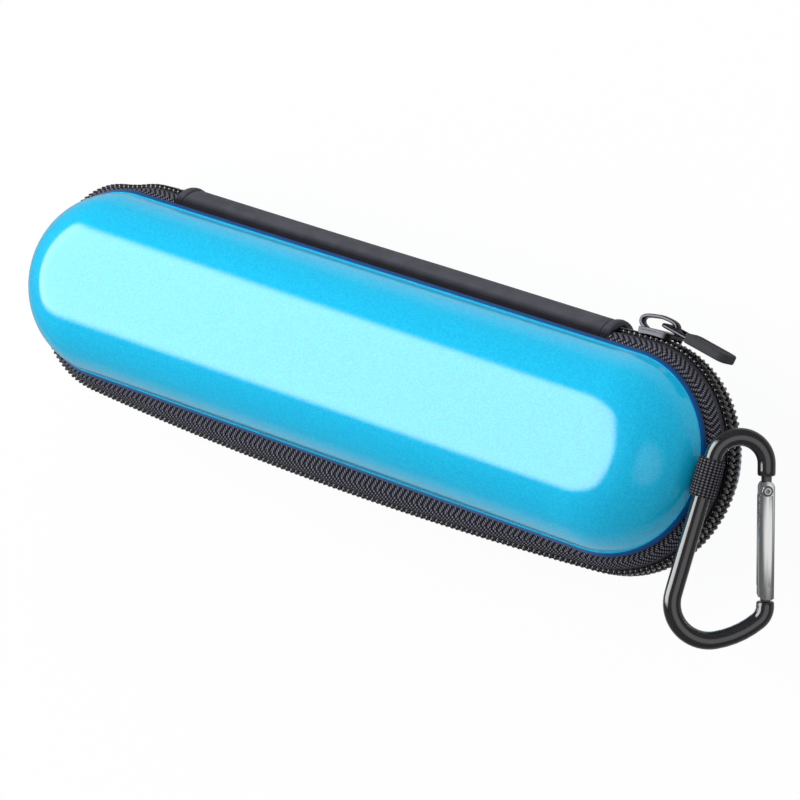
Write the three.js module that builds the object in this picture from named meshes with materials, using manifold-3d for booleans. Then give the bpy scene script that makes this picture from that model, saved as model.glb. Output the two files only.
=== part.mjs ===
// Hard travel case for an electric toothbrush: two moulded half shells on a sewn zip tape,
// a hinge strip along the back, a zip slider with a rubber pull, and a snap hook on a webbing loop.
// Millimetres. X runs along the case, +Y is the hinge side, +Z is up.
// The origin is the middle of the flat on which the lower shell rests.
import * as THREE from 'three';
import { mergeVertices } from 'three/addons/utils/BufferGeometryUtils.js';
import Module from 'manifold-3d';

const wasm = await Module();
wasm.setup();

// Clearance between pieces that touch on the real case.
const GAP = 0.3;

// Half shells
const END_CENTRE_X = 90.4; // middle of the case to the centre of each round end
const RIM_RADIUS = 27.2; // half width of the shell at its rim, and the radius of its round ends
const RIM_HEIGHT = 8.3; // zip line to the edge of a shell
const SHELL_RISE = 20.2; // edge of a shell to its crown
const CROWN_INSET = 18.1; // how far the flat of the crown lies in from the rim
const CROWN_ROUNDNESS = 1.9; // exponent of the shell's section, where 2 is an ellipse
const SHELL_WALL = 2.0;
const LINING_WALL = 1.5;

// Sewn edge: zip tape, its flange under the shell, and the binding inside
const TAPE_THICKNESS = 0.8;
const TAPE_REACH = 5.8; // how far the zip stands out from the rim at the ends and the back
const FRONT_BOW = 3.0; // how much further it stands out in the middle of the front
const BINDING_HEIGHT = 1.6;
const BINDING_SETBACK = 0.3; // binding's outer edge to the rim
const FLANGE_STEP = 0.05; // the flange thickens this far inside the rim

// Zip chain
const COIL_HEIGHT = 2.45; // one half of the chain, across the tape
const COIL_THICKNESS = 2.2;
const COIL_SLIT = 1.1; // open slit between the two halves, in which the slider's web runs
const COIL_STEP = 2.6; // one turn of the coil; turns and the dips between them alternate
const COIL_DIP = 0.5; // depth of the dips
const TAPE_INSET = 0.7; // outer face of the chain to the outer face of the tape
const BACK_ARC_DEG = 93; // where the zip leaves the round end for the straight run to the hinge
const LEAD_LENGTH = 27.5; // first stretch of the lower chain, beside slider and pull, which goes with the lid
const NOTCH_INSET = 1.0; // rim to the near side of the notch round that stretch
const NOTCH_PLAY = 1.5; // slider to the side of the notch

// Hinge strip along the back
const HINGE_HALF_LENGTH = 75;
const LEAF_REACH = 6.6; // how far the strip stands out from the rim
const LEAF_THICKNESS = 1.6;
const BAND_LENGTH = 2.4; // sewn band at each end of the strip
const BAND_PROUD = 0.4; // how far the band stands out over the strip
const PARTING = 0.3; // slit between the upper and the lower leaf

// Zip slider
const SLIDER_PARK_RUN = 11.55; // near end of the zip to the middle of the parked slider
const SLIDER_LENGTH = 9.8;
const SLIDER_PLATE = 1.1; // thickness of its outer plate
const SLIDER_BACK_PLATE = 1.0;
const SLIDER_OUTER_PLAY = 0.6; // outer plate to the chain
const SLIDER_BACK_PLAY = 0.5; // back plate to the chain
const SLIDER_EDGE_PLAY = 0.4; // lips to the edge of the chain
const SLIDER_LIP = 1.0; // height of the lips that hold the chain in
const TAPE_SLOT_PLAY = 0.5; // lips to the tape
const WEB_THICKNESS = 0.5; // web between the plates, at the leading end
const WEB_LENGTH = 3.0;
const BRIDGE_HEIGHT = 4.0; // bridge over the outer plate
const BRIDGE_WIDTH = 2.4;
const BRIDGE_BAR = 1.1;
// Course of the bridge: [share of its height over the plate, share of the slider's half length]
const BRIDGE_COURSE = [
  [-0.2, 0.8], [0.3, 1.25], [0.8, 1.1], [0.86, 0.35], [0.86, 0], [0.7, -0.67], [0.25, -0.88], [-0.2, -0.8],
];

// Pull: wire link and moulded rubber tab
const PULL_WIRE = 1.2; // wire diameter
const PULL_PIVOT_RISE = 1.6; // outer plate to the middle of the wire
const PULL_PIVOT_BACK = 1.5; // middle of the slider to the wire, towards the pull
const LINK_HALF_WIDTH = 3.2;
const LINK_LENGTH = 10;
const PULL_LEAN = 0.64; // how far the pull leans in, as a share of the chain's bend along it
const TAB_START = 7.4; // wire to the near end of the tab
const TAB_LENGTH = 14.2;
const TAB_WIDTH = 8.4;
const TAB_THICKNESS = 2.6;
const TAB_CORNER = 2.2;
const TAB_CHAMFER = 1;

// Webbing loop at the right-hand end
const WEBBING_WIDTH = 10.4;
const WEBBING_THICKNESS = 0.9;
const WEBBING_Y = 1.6; // middle of the webbing
const WEBBING_PLAY = 0.3; // webbing to the bar that runs in it
const WEBBING_BEND = 0.7; // turn of the webbing where it leaves the edge of the shell
const WEBBING_NOTCH_REACH = 1.4; // notch in the tape round the webbing, out from the rim
const WEBBING_NOTCH_DEPTH = 1.2; // and down from the tape's flange

// Snap hook, drawn in its own plane with the spine along V and the gate on the +U side
const BAR_DIAMETER = 4.8;
const HOOK_OUT = 4.1; // rim of the shell to the middle of the spine
const HOOK_RISE = 3.2; // edge of the shell to the middle of the spine
const HOOK_TILT_DEG = 38; // how far the hook droops over the end of the case
const TOP_BEND_RADIUS = 7.2;
const TOP_BEND_V = 7.4;
const HEEL_RADIUS = 10; // bend at the foot of the spine
const HEEL_V = -30.2;
const HEEL_END_DEG = 295;
const BASE_RADIUS = 24; // long shallow bend across the wide end
const BASE_END_DEG = 325;
const TOE_RADIUS = 5; // tight bend up to the nose
const SHOULDER_LENGTH = 3.2; // straight of full bar after the top bend
const PIVOT_DISTANCE = 7.0; // end of the top bend to the rivet
const NOSE_LENGTH = 1.4; // straight of full bar after the toe bend
const TONGUE_LENGTH = 3.4; // thin end of the nose, inside the gate
const TONGUE_THICKNESS = 2.2;
const TONGUE_WIDTH = 2.6;

// Gate: a folded channel, open towards the spine
const GATE_WIDTH = 4.2;
const GATE_DEPTH = 4.6;
const GATE_SHEET = 0.7;
const GATE_TOP = 2.7; // rivet to the top end of the gate
const TANG_ROOM = 1.2; // open length of the gate's face past the rivet, round the tang
const GATE_NOSE_GAP = 0.5; // foot of the gate to the full bar of the nose
const RIVET_DIAMETER = 2.0;
const RIVET_HEAD = 2.9;
const RIVET_HEAD_HEIGHT = 0.5;
const SPRING_THICKNESS = 0.35;
const SPRING_LENGTH = 9;

// Inside: net pocket in the lid, elastic straps in the base
const POCKET_SHEET = 0.8;
const POCKET_START_X = -96;
const POCKET_END_X = 8;
const HEM_WIDTH = 6;
const HEM_THICKNESS = 1.6;
const STRAP_THICKNESS = 1.2;
const SHEET_SETBACK = 0.2; // face of the binding to the pocket and the straps
const HANDLE_STRAP_X = -38;
const HANDLE_STRAP_WIDTH = 22;
const NECK_STRAP_X = 52;
const NECK_STRAP_WIDTH = 14;

// Sizes that follow from the ones above
const SEAM_HEIGHT = RIM_HEIGHT + SHELL_RISE;
const COIL_RADIUS = RIM_RADIUS + TAPE_REACH;
const FLANGE_TOP = RIM_HEIGHT - GAP;
const FLANGE_BOTTOM = FLANGE_TOP - TAPE_THICKNESS;
const BINDING_TOP = FLANGE_BOTTOM - GAP;
const COIL_NEAR = COIL_SLIT / 2;
const COIL_FAR = COIL_NEAR + COIL_HEIGHT;
const TAPE_FOOT = COIL_FAR + GAP;
const LINING_OUTSET = SHELL_WALL + GAP;
const LINING_INSET = LINING_OUTSET + LINING_WALL;
const HINGE_END = HINGE_HALF_LENGTH + GAP + BAND_LENGTH;
const TAPE_START_X = HINGE_END + GAP;
const NOTCH_DEPTH = COIL_FAR + SLIDER_EDGE_PLAY + SLIDER_LIP + NOTCH_PLAY;
const SHEET_LEVEL = BINDING_TOP - BINDING_HEIGHT + SHEET_SETBACK;
const CUT_PAST = 1; // a cutter reaches this far past what it cuts

// Resolution of the curved surfaces
const END_SEGMENTS = 16;
const FRONT_SEGMENTS = 12;
const TAPE_CURVE_SEGMENTS = 4;
const CROWN_RINGS = 6;
const BAR_SIDES = 10;
const PIN_SIDES = 16;
const ARC_STEP_DEG = 18;
const BRIDGE_STEPS = 20;
const SPRING_STEPS = 8;
const LOOP_STEPS = 16;
const SHEET_STEPS = 8;

const radians = (degrees) => (degrees * Math.PI) / 180;
const degreesOf = (angle) => (angle * 180) / Math.PI;
const polar = (radius, degrees) => [radius * Math.cos(radians(degrees)), radius * Math.sin(radians(degrees))];

// Finishes
function finish(color, roughness, metalness) {
  return new THREE.MeshStandardMaterial({ color, roughness, metalness });
}

const finishes = {
  blueLacquer: () => finish(0x17b4ee, 0.22, 0.35),
  lining: () => finish(0x2b2b30, 0.95, 0),
  tape: () => finish(0x2e2e36, 0.85, 0),
  coil: () => finish(0x1c1c20, 0.4, 0),
  sheath: () => finish(0x34343a, 0.55, 0),
  blackMetal: () => finish(0x2a2a2d, 0.3, 0.8),
  rubber: () => finish(0x3e3e42, 0.8, 0),
  webbing: () => finish(0x1d1d20, 0.9, 0),
  anodised: () => finish(0x232326, 0.3, 0.7),
  polished: () => finish(0xd4d5d8, 0.18, 1),
  net: () => finish(0x26262b, 0.95, 0),
};

// Closed solid from points and triangles, turned so that its faces point out.
function closedSolid(points, triangles) {
  const geometry = new THREE.BufferGeometry();
  geometry.setAttribute('position', new THREE.Float32BufferAttribute(points.flat(), 3));
  let volume = 0;
  const [a, b, c] = [new THREE.Vector3(), new THREE.Vector3(), new THREE.Vector3()];
  for (const [i, j, k] of triangles) {
    a.set(...points[i]);
    b.set(...points[j]);
    c.set(...points[k]);
    volume += a.dot(b.cross(c));
  }
  const outward = volume < 0 ? triangles.map(([i, j, k]) => [i, k, j]) : triangles;
  geometry.setIndex(outward.flat());
  return geometry;
}

// Skin between rings of equal length; each ring is a band whose first half is one face
// and whose second half is the other face, read backwards, so an end is closed by a strip.
function bandLoft(rings) {
  const count = rings[0].length;
  const triangles = [];
  for (let r = 0; r + 1 < rings.length; r += 1) {
    for (let k = 0; k < count; k += 1) {
      const next = (k + 1) % count;
      const [p, q] = [r * count, (r + 1) * count];
      triangles.push([p + k, p + next, q + next], [p + k, q + next, q + k]);
    }
  }
  const last = (rings.length - 1) * count;
  for (let k = 0; k + 1 < count / 2; k += 1) {
    const far = count - 1 - k;
    triangles.push([k, far, far - 1], [k, far - 1, k + 1]);
    triangles.push([last + k, last + far - 1, last + far], [last + k, last + k + 1, last + far - 1]);
  }
  return closedSolid(rings.flat(), triangles);
}

// Round-ended outline of the case, at a given distance in from the rim.
function caseOutline(inset) {
  const radius = RIM_RADIUS - inset;
  const outline = [];
  for (const [centre, start] of [[END_CENTRE_X, -90], [-END_CENTRE_X, 90]]) {
    for (let k = 0; k <= END_SEGMENTS; k += 1) {
      const [x, y] = polar(radius, start + (180 * k) / END_SEGMENTS);
      outline.push([centre + x, y]);
    }
  }
  return outline;
}

// Solid between outlines that follow a profile of [inset, height] points; it is closed at both
// ends of the profile by flat faces, or is a ring when the profile returns to its start.
function profileSolid(profile, side, ring = false) {
  const points = [];
  const count = caseOutline(0).length;
  for (const [inset, height] of profile) {
    for (const [x, y] of caseOutline(inset)) points.push([x, y, side * height]);
  }
  const triangles = [];
  const rings = profile.length;
  for (let r = 0; r + (ring ? 0 : 1) < rings; r += 1) {
    for (let k = 0; k < count; k += 1) {
      const next = (k + 1) % count;
      const [p, q] = [r * count, ((r + 1) % rings) * count];
      triangles.push([p + k, p + next, q + next], [p + k, q + next, q + k]);
    }
  }
  if (!ring) {
    const last = (rings - 1) * count;
    for (let k = 1; k + 1 < count; k += 1) {
      triangles.push([0, k + 1, k], [last, last + k, last + k + 1]);
    }
  }
  return closedSolid(points, triangles);
}

// Section of one face of a half shell, from the edge up to the flat of the crown.
function crownProfile(outset, rise, edge) {
  const profile = edge < RIM_HEIGHT ? [[outset, edge]] : [];
  const power = 2 / CROWN_ROUNDNESS;
  for (let k = 0; k <= CROWN_RINGS; k += 1) {
    const angle = ((Math.PI / 2) * k) / CROWN_RINGS;
    const inset = CROWN_INSET * (1 - Math.max(0, Math.cos(angle)) ** power);
    profile.push([outset + inset, RIM_HEIGHT + rise * Math.sin(angle) ** power]);
  }
  return profile;
}

// Cup between an outer and an inner face, open at the zip line.
function cup(outer, inner, side) {
  return profileSolid([...outer.reverse(), ...inner], side);
}

function halfShell(side) {
  const outer = crownProfile(0, SHELL_RISE, RIM_HEIGHT);
  const inner = crownProfile(SHELL_WALL, SHELL_RISE - SHELL_WALL, RIM_HEIGHT);
  return cup(outer, inner, side);
}

function halfLining(side) {
  const outer = crownProfile(LINING_OUTSET, SHELL_RISE - LINING_OUTSET, FLANGE_BOTTOM);
  const inner = crownProfile(LINING_INSET, SHELL_RISE - LINING_INSET, FLANGE_BOTTOM);
  return cup(outer, inner, side);
}

function rimBinding(side) {
  const [outer, inner] = [BINDING_SETBACK, LINING_INSET];
  const foot = BINDING_TOP - BINDING_HEIGHT;
  return profileSolid([[outer, foot], [outer, BINDING_TOP], [inner, BINDING_TOP], [inner, foot]], side, true);
}

// Stations along the zip, from the hinge at the right round the case to the hinge at the left.
// Each has the point on the rim, the point on the outer face of the chain, and its distance run.
function zipStations() {
  const front = COIL_RADIUS + FRONT_BOW;
  const frontRadius = (END_CENTRE_X ** 2 + front ** 2 - COIL_RADIUS ** 2) / (2 * FRONT_BOW);
  const frontDeg = degreesOf(Math.atan2(frontRadius - front, END_CENTRE_X));
  const half = [];
  const onEnd = (degrees) => {
    const [rx, ry] = polar(RIM_RADIUS, degrees);
    const [cx, cy] = polar(COIL_RADIUS, degrees);
    return { rim: [END_CENTRE_X + rx, ry], coil: [END_CENTRE_X + cx, cy] };
  };
  const tapeStartDeg = degreesOf(Math.acos((TAPE_START_X - END_CENTRE_X) / COIL_RADIUS));
  const arcStartDeg = Math.min(BACK_ARC_DEG, tapeStartDeg);
  const join = onEnd(arcStartDeg);
  if (arcStartDeg < tapeStartDeg) {
    const slope = Math.tan(radians(arcStartDeg - 90));
    const startY = join.coil[1] - (join.coil[0] - TAPE_START_X) * slope;
    const start = { rim: [TAPE_START_X, RIM_RADIUS], coil: [TAPE_START_X, startY] };
    const middle = (p, q) => [(p[0] + q[0]) / 2, (p[1] + q[1]) / 2];
    half.push(start, { rim: middle(start.rim, join.rim), coil: middle(start.coil, join.coil) });
  }
  const endSteps = END_SEGMENTS + 4;
  for (let k = 0; k <= endSteps; k += 1) {
    half.push(onEnd(arcStartDeg - ((arcStartDeg + frontDeg) * k) / endSteps));
  }
  const tangent = half[half.length - 1];
  const sweep = Math.asin(tangent.coil[0] / frontRadius);
  for (let k = 1; k <= FRONT_SEGMENTS / 2; k += 1) {
    const angle = sweep * (1 - k / (FRONT_SEGMENTS / 2));
    const x = frontRadius * Math.sin(angle);
    const rimX = (x * tangent.rim[0]) / tangent.coil[0];
    const beyond = Math.max(0, rimX - END_CENTRE_X);
    half.push({
      rim: [rimX, -Math.sqrt(RIM_RADIUS ** 2 - beyond ** 2)],
      coil: [x, frontRadius - front - frontRadius * Math.cos(angle)],
    });
  }
  const mirrored = half.slice(0, -1).reverse().map(({ rim, coil }) => ({
    rim: [-rim[0], rim[1]],
    coil: [-coil[0], coil[1]],
  }));
  const stations = [...half, ...mirrored];
  let run = 0;
  stations.forEach((station, i) => {
    if (i > 0) {
      const previous = stations[i - 1].coil;
      run += Math.hypot(station.coil[0] - previous[0], station.coil[1] - previous[1]);
    }
    station.run = run;
  });
  return stations;
}

const ZIP = zipStations();
const ZIP_LENGTH = ZIP[ZIP.length - 1].run;

// Station at a given distance along the zip.
function stationAt(run) {
  let i = 1;
  while (i < ZIP.length - 1 && ZIP[i].run < run) i += 1;
  const [p, q] = [ZIP[i - 1], ZIP[i]];
  const t = (run - p.run) / (q.run - p.run);
  const mix = (a, b) => [a[0] + (b[0] - a[0]) * t, a[1] + (b[1] - a[1]) * t];
  return { rim: mix(p.rim, q.rim), coil: mix(p.coil, q.coil), run };
}

// Place of the parked slider's frame: the centre of the round end while the zip runs round it, and
// as far back from there as the slider is when it parks on the straight before it.
function parkedFrame() {
  const { coil } = stationAt(SLIDER_PARK_RUN);
  const bend = polar(COIL_RADIUS, BACK_ARC_DEG);
  if (coil[0] < END_CENTRE_X + bend[0]) {
    return { x: coil[0] - bend[0], y: coil[1] - bend[1], degrees: BACK_ARC_DEG };
  }
  return { x: END_CENTRE_X, y: 0, degrees: degreesOf(Math.atan2(coil[1], coil[0] - END_CENTRE_X)) };
}

// How far the pull leans in from the slider's own line, in degrees. It follows the chain's bend
// between the slider and the tab's far end, so it keeps clear of the chain wherever it parks.
function pullLean(sliderDegrees) {
  const [from, to] = [SLIDER_PARK_RUN, SLIDER_PARK_RUN + TAB_START + TAB_LENGTH].map(stationAt);
  const chord = degreesOf(Math.atan2(to.coil[1] - from.coil[1], to.coil[0] - from.coil[0]));
  return PULL_LEAN * (sliderDegrees - 90 - chord);
}

// Points of a section at a station: [distance out from the rim, height above the zip line].
function sectionAt({ rim, coil }, section, side) {
  const reach = Math.hypot(coil[0] - rim[0], coil[1] - rim[1]);
  const [dx, dy] = [(coil[0] - rim[0]) / reach, (coil[1] - rim[1]) / reach];
  return section(reach).map(([out, height]) => [rim[0] + dx * out, rim[1] + dy * out, side * height]);
}

// Band that falls in a quarter ellipse from the rim to its foot, with a flange under the shell.
function fallingBand(reachOut, thickness, foot) {
  const outer = [[-SHELL_WALL, FLANGE_TOP], [-FLANGE_STEP, FLANGE_TOP]];
  const inner = [[-SHELL_WALL, FLANGE_BOTTOM], [-FLANGE_STEP, FLANGE_BOTTOM]];
  for (let k = 0; k <= TAPE_CURVE_SEGMENTS; k += 1) {
    const angle = ((Math.PI / 2) * k) / TAPE_CURVE_SEGMENTS;
    const [sin, cos] = [Math.sin(angle), Math.cos(angle)];
    outer.push([reachOut * sin, foot + (FLANGE_TOP - foot) * cos]);
    inner.push([(reachOut - thickness) * sin, foot + (FLANGE_TOP - thickness - foot) * cos]);
  }
  return [...outer, ...inner.reverse()];
}

const tapeSection = (reach) => fallingBand(reach - TAPE_INSET, TAPE_THICKNESS, TAPE_FOOT);

function zipTape(side) {
  return bandLoft(ZIP.map((station) => sectionAt(station, tapeSection, side)));
}

// Half of the chain: a rail whose outer face and inner edge step in between the turns.
function zipCoil(side, from, to) {
  const rings = [];
  const turns = Math.round((to - from) / COIL_STEP);
  for (let k = 0; k <= turns; k += 1) {
    const dip = k % 2 ? COIL_DIP : 0;
    const section = (reach) => [
      [reach - COIL_THICKNESS, COIL_FAR],
      [reach - dip, COIL_FAR],
      [reach - dip, COIL_NEAR + dip / 2],
      [reach - COIL_THICKNESS, COIL_NEAR + dip / 2],
    ];
    rings.push(sectionAt(stationAt(from + ((to - from) * k) / turns), section, side));
  }
  return bandLoft(rings);
}

// One leaf of the hinge strip or of an end band, between two places along the back.
function backStrip(from, to, reachOut, thickness, side) {
  const section = fallingBand(reachOut, thickness, PARTING / 2);
  const ring = (x) => section.map(([out, height]) => [x, RIM_RADIUS + out, side * height]);
  return bandLoft([ring(from), ring(to)]);
}

function hingeLeaf(side) {
  return backStrip(-HINGE_HALF_LENGTH, HINGE_HALF_LENGTH, LEAF_REACH, LEAF_THICKNESS, side);
}

function endBand(end, side) {
  const [near, far] = [HINGE_HALF_LENGTH + GAP, HINGE_END];
  return backStrip(end * near, end * far, LEAF_REACH + BAND_PROUD, LEAF_THICKNESS + BAND_PROUD, side);
}

// Manifold solid of a closed geometry, and back again.
function toSolid(geometry) {
  const bare = geometry.clone();
  bare.deleteAttribute('normal');
  bare.deleteAttribute('uv');
  const merged = mergeVertices(bare, 1e-4);
  return new wasm.Manifold(new wasm.Mesh({
    numProp: 3,
    vertProperties: new Float32Array(merged.attributes.position.array),
    triVerts: new Uint32Array(merged.index.array),
  }));
}

function fromSolid(solid) {
  const mesh = solid.getMesh();
  const geometry = new THREE.BufferGeometry();
  geometry.setAttribute('position', new THREE.BufferAttribute(new Float32Array(mesh.vertProperties), 3));
  geometry.setIndex(new THREE.BufferAttribute(new Uint32Array(mesh.triVerts), 1));
  return geometry;
}

const join = (...geometries) => fromSolid(geometries.map(toSolid).reduce((all, one) => all.add(one)));
const cut = (geometry, ...cutters) => {
  const solids = cutters.map(toSolid);
  return fromSolid(solids.reduce((all, one) => all.subtract(one), toSolid(geometry)));
};

// Plate of a drawn outline, from one height to another.
function plate(outline, from, to, hole = null) {
  const shape = new THREE.Shape(outline.map(([x, y]) => new THREE.Vector2(x, y)));
  if (hole) shape.holes.push(new THREE.Path(hole.map(([x, y]) => new THREE.Vector2(x, y))));
  return new THREE.ExtrudeGeometry(shape, { depth: to - from, bevelEnabled: false }).translate(0, 0, from);
}

// Box between two corners.
function block(low, high) {
  const size = high.map((value, i) => value - low[i]);
  const middle = high.map((value, i) => (value + low[i]) / 2);
  return new THREE.BoxGeometry(...size).translate(...middle);
}

// Part of a flat ring about the origin.
function ringSector(inner, outer, fromDeg, toDeg, steps = 6) {
  const outline = [];
  for (let k = 0; k <= steps; k += 1) outline.push(polar(outer, fromDeg + ((toDeg - fromDeg) * k) / steps));
  for (let k = steps; k >= 0; k -= 1) outline.push(polar(inner, fromDeg + ((toDeg - fromDeg) * k) / steps));
  return outline;
}

// The lower tape leaves room round the parked slider, which goes up with the lid.
function lowerTapeNotch() {
  const section = (reach) => [
    [NOTCH_INSET, NOTCH_DEPTH],
    [reach + CUT_PAST, NOTCH_DEPTH],
    [reach + CUT_PAST, 0],
    [NOTCH_INSET, 0],
  ];
  const end = LEAD_LENGTH + GAP;
  const runs = [-CUT_PAST, ...ZIP.map(({ run }) => run).filter((run) => run < end), end];
  return bandLoft(runs.map((run) => sectionAt(stationAt(run), section, -1)));
}

// The upper tape is open where the webbing comes out from under the shell.
function webbingNotch() {
  const halfWidth = WEBBING_WIDTH / 2 + GAP;
  const rimX = END_CENTRE_X + RIM_RADIUS;
  const low = [rimX - SHELL_WALL - CUT_PAST, WEBBING_Y - halfWidth, FLANGE_BOTTOM - WEBBING_NOTCH_DEPTH];
  const high = [rimX + WEBBING_NOTCH_REACH, WEBBING_Y + halfWidth, RIM_HEIGHT];
  return block(low, high);
}

// Slider, drawn with the centre of the round end at the origin and its middle on +X.
function sliderBody() {
  const halfDeg = degreesOf(SLIDER_LENGTH / 2 / COIL_RADIUS);
  const plateInner = COIL_RADIUS + SLIDER_OUTER_PLAY;
  const plateOuter = plateInner + SLIDER_PLATE;
  const backOuter = COIL_RADIUS - COIL_THICKNESS - SLIDER_BACK_PLAY;
  const backInner = backOuter - SLIDER_BACK_PLATE;
  const lipFoot = COIL_FAR + SLIDER_EDGE_PLAY;
  const lipTop = lipFoot + SLIDER_LIP;
  const slotOuter = COIL_RADIUS - TAPE_INSET + TAPE_SLOT_PLAY;
  const slotInner = COIL_RADIUS - TAPE_INSET - TAPE_THICKNESS - TAPE_SLOT_PLAY;
  const [outerFoot, innerFoot] = [plateOuter - SLIDER_PLATE / 2, backInner + SLIDER_BACK_PLATE / 2];
  const pieces = [
    plate(ringSector(plateInner, plateOuter, -halfDeg, halfDeg), -lipTop, lipTop),
    plate(ringSector(backInner, backOuter, -halfDeg, halfDeg), -lipTop, lipTop),
  ];
  for (const [from, to] of [[lipFoot, lipTop], [-lipTop, -lipFoot]]) {
    pieces.push(plate(ringSector(slotOuter, outerFoot, -halfDeg, halfDeg), from, to));
    pieces.push(plate(ringSector(innerFoot, slotInner, -halfDeg, halfDeg), from, to));
  }
  const web = ringSector(innerFoot, outerFoot, halfDeg - degreesOf(WEB_LENGTH / COIL_RADIUS), halfDeg, 2);
  pieces.push(plate(web, -WEB_THICKNESS / 2, WEB_THICKNESS / 2));
  pieces.push(sliderBridge(plateOuter));
  return join(...pieces);
}

// Bridge over the slider's outer plate, which the pull's wire runs through.
function sliderBridge(plateOuter) {
  const course = BRIDGE_COURSE.map(([rise, along]) => (
    new THREE.Vector3(plateOuter + BRIDGE_HEIGHT * rise, (SLIDER_LENGTH / 2) * along, 0)
  ));
  return ribbonAlong(new THREE.CatmullRomCurve3(course), BRIDGE_BAR, BRIDGE_WIDTH, BRIDGE_STEPS);
}

// Flat bar along a plane curve, square to it.
function ribbonAlong(curve, thickness, width, steps) {
  const rings = [];
  for (let k = 0; k <= steps; k += 1) {
    const point = curve.getPointAt(k / steps);
    const tangent = curve.getTangentAt(k / steps);
    const [nx, ny] = [(-tangent.y * thickness) / 2, (tangent.x * thickness) / 2];
    rings.push([
      [point.x + nx, point.y + ny, width / 2],
      [point.x - nx, point.y - ny, width / 2],
      [point.x - nx, point.y - ny, -width / 2],
      [point.x + nx, point.y + ny, -width / 2],
    ]);
  }
  return bandLoft(rings);
}

// Straight round pin between two points.
function pin(from, to, diameter, sides = PIN_SIDES) {
  const [a, b] = [new THREE.Vector3(...from), new THREE.Vector3(...to)];
  const geometry = new THREE.CylinderGeometry(diameter / 2, diameter / 2, a.distanceTo(b), sides);
  const along = b.clone().sub(a).normalize();
  const turn = new THREE.Quaternion().setFromUnitVectors(new THREE.Vector3(0, 1, 0), along);
  return geometry.applyQuaternion(turn).translate(...a.add(b).multiplyScalar(0.5).toArray());
}

// Wire link of the pull: the wire is the origin's Z axis, and the pull lies along +X.
function pullLink() {
  const z = LINK_HALF_WIDTH;
  const overlap = PULL_WIRE / 2;
  return join(
    pin([0, 0, -z - overlap], [0, 0, z + overlap], PULL_WIRE, BAR_SIDES),
    pin([-overlap, 0, z], [LINK_LENGTH, 0, z], PULL_WIRE, BAR_SIDES),
    pin([-overlap, 0, -z], [LINK_LENGTH, 0, -z], PULL_WIRE, BAR_SIDES),
  );
}

// Rubber tab with sockets for the ends of the link.
function pullTab() {
  const half = TAB_WIDTH / 2;
  const end = TAB_START + TAB_LENGTH;
  const outline = [[TAB_START, -half + TAB_CHAMFER], [TAB_START + TAB_CHAMFER, -half]];
  for (const [centre, start] of [[-half + TAB_CORNER, -90], [half - TAB_CORNER, 0]]) {
    for (let k = 0; k <= 4; k += 1) {
      const [x, y] = polar(TAB_CORNER, start + (90 * k) / 4);
      outline.push([end - TAB_CORNER + x, centre + y]);
    }
  }
  outline.push([TAB_START + TAB_CHAMFER, half], [TAB_START, half - TAB_CHAMFER]);
  const body = plate(outline, -TAB_THICKNESS / 2, TAB_THICKNESS / 2).rotateX(Math.PI / 2);
  const socket = (z) => {
    const [mouth, foot] = [[TAB_START - CUT_PAST, 0, z], [LINK_LENGTH + GAP, 0, z]];
    return pin(mouth, foot, PULL_WIRE + 2 * GAP, BAR_SIDES);
  };
  return cut(body, socket(LINK_HALF_WIDTH), socket(-LINK_HALF_WIDTH));
}

// Webbing loop: a flat tail from under the shell that goes round the spine of the hook.
function webbingLoop() {
  const hole = BAR_DIAMETER / 2 + WEBBING_PLAY;
  const outer = hole + WEBBING_THICKNESS;
  const rimX = END_CENTRE_X + RIM_RADIUS;
  const [cx, cz] = [rimX + HOOK_OUT, RIM_HEIGHT + HOOK_RISE];
  const outline = [
    [rimX - SHELL_WALL + GAP, FLANGE_TOP],
    [rimX - SHELL_WALL + GAP, FLANGE_BOTTOM],
    [rimX + GAP, FLANGE_BOTTOM],
    [rimX + GAP + WEBBING_BEND, FLANGE_BOTTOM + WEBBING_BEND],
  ];
  for (let k = 0; k <= LOOP_STEPS; k += 1) {
    const [x, z] = polar(outer, -120 + (300 * k) / LOOP_STEPS);
    outline.push([cx + x, cz + z]);
  }
  outline.push([rimX + GAP, FLANGE_TOP + WEBBING_BEND]);
  outline.push([rimX, FLANGE_TOP]);
  const inner = [];
  for (let k = 0; k < LOOP_STEPS; k += 1) {
    const [x, z] = polar(hole, (360 * k) / LOOP_STEPS);
    inner.push([cx + x, cz + z]);
  }
  const half = WEBBING_WIDTH / 2;
  return plate(outline, -half, half, inner).rotateX(Math.PI / 2).translate(0, WEBBING_Y, 0);
}

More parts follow.
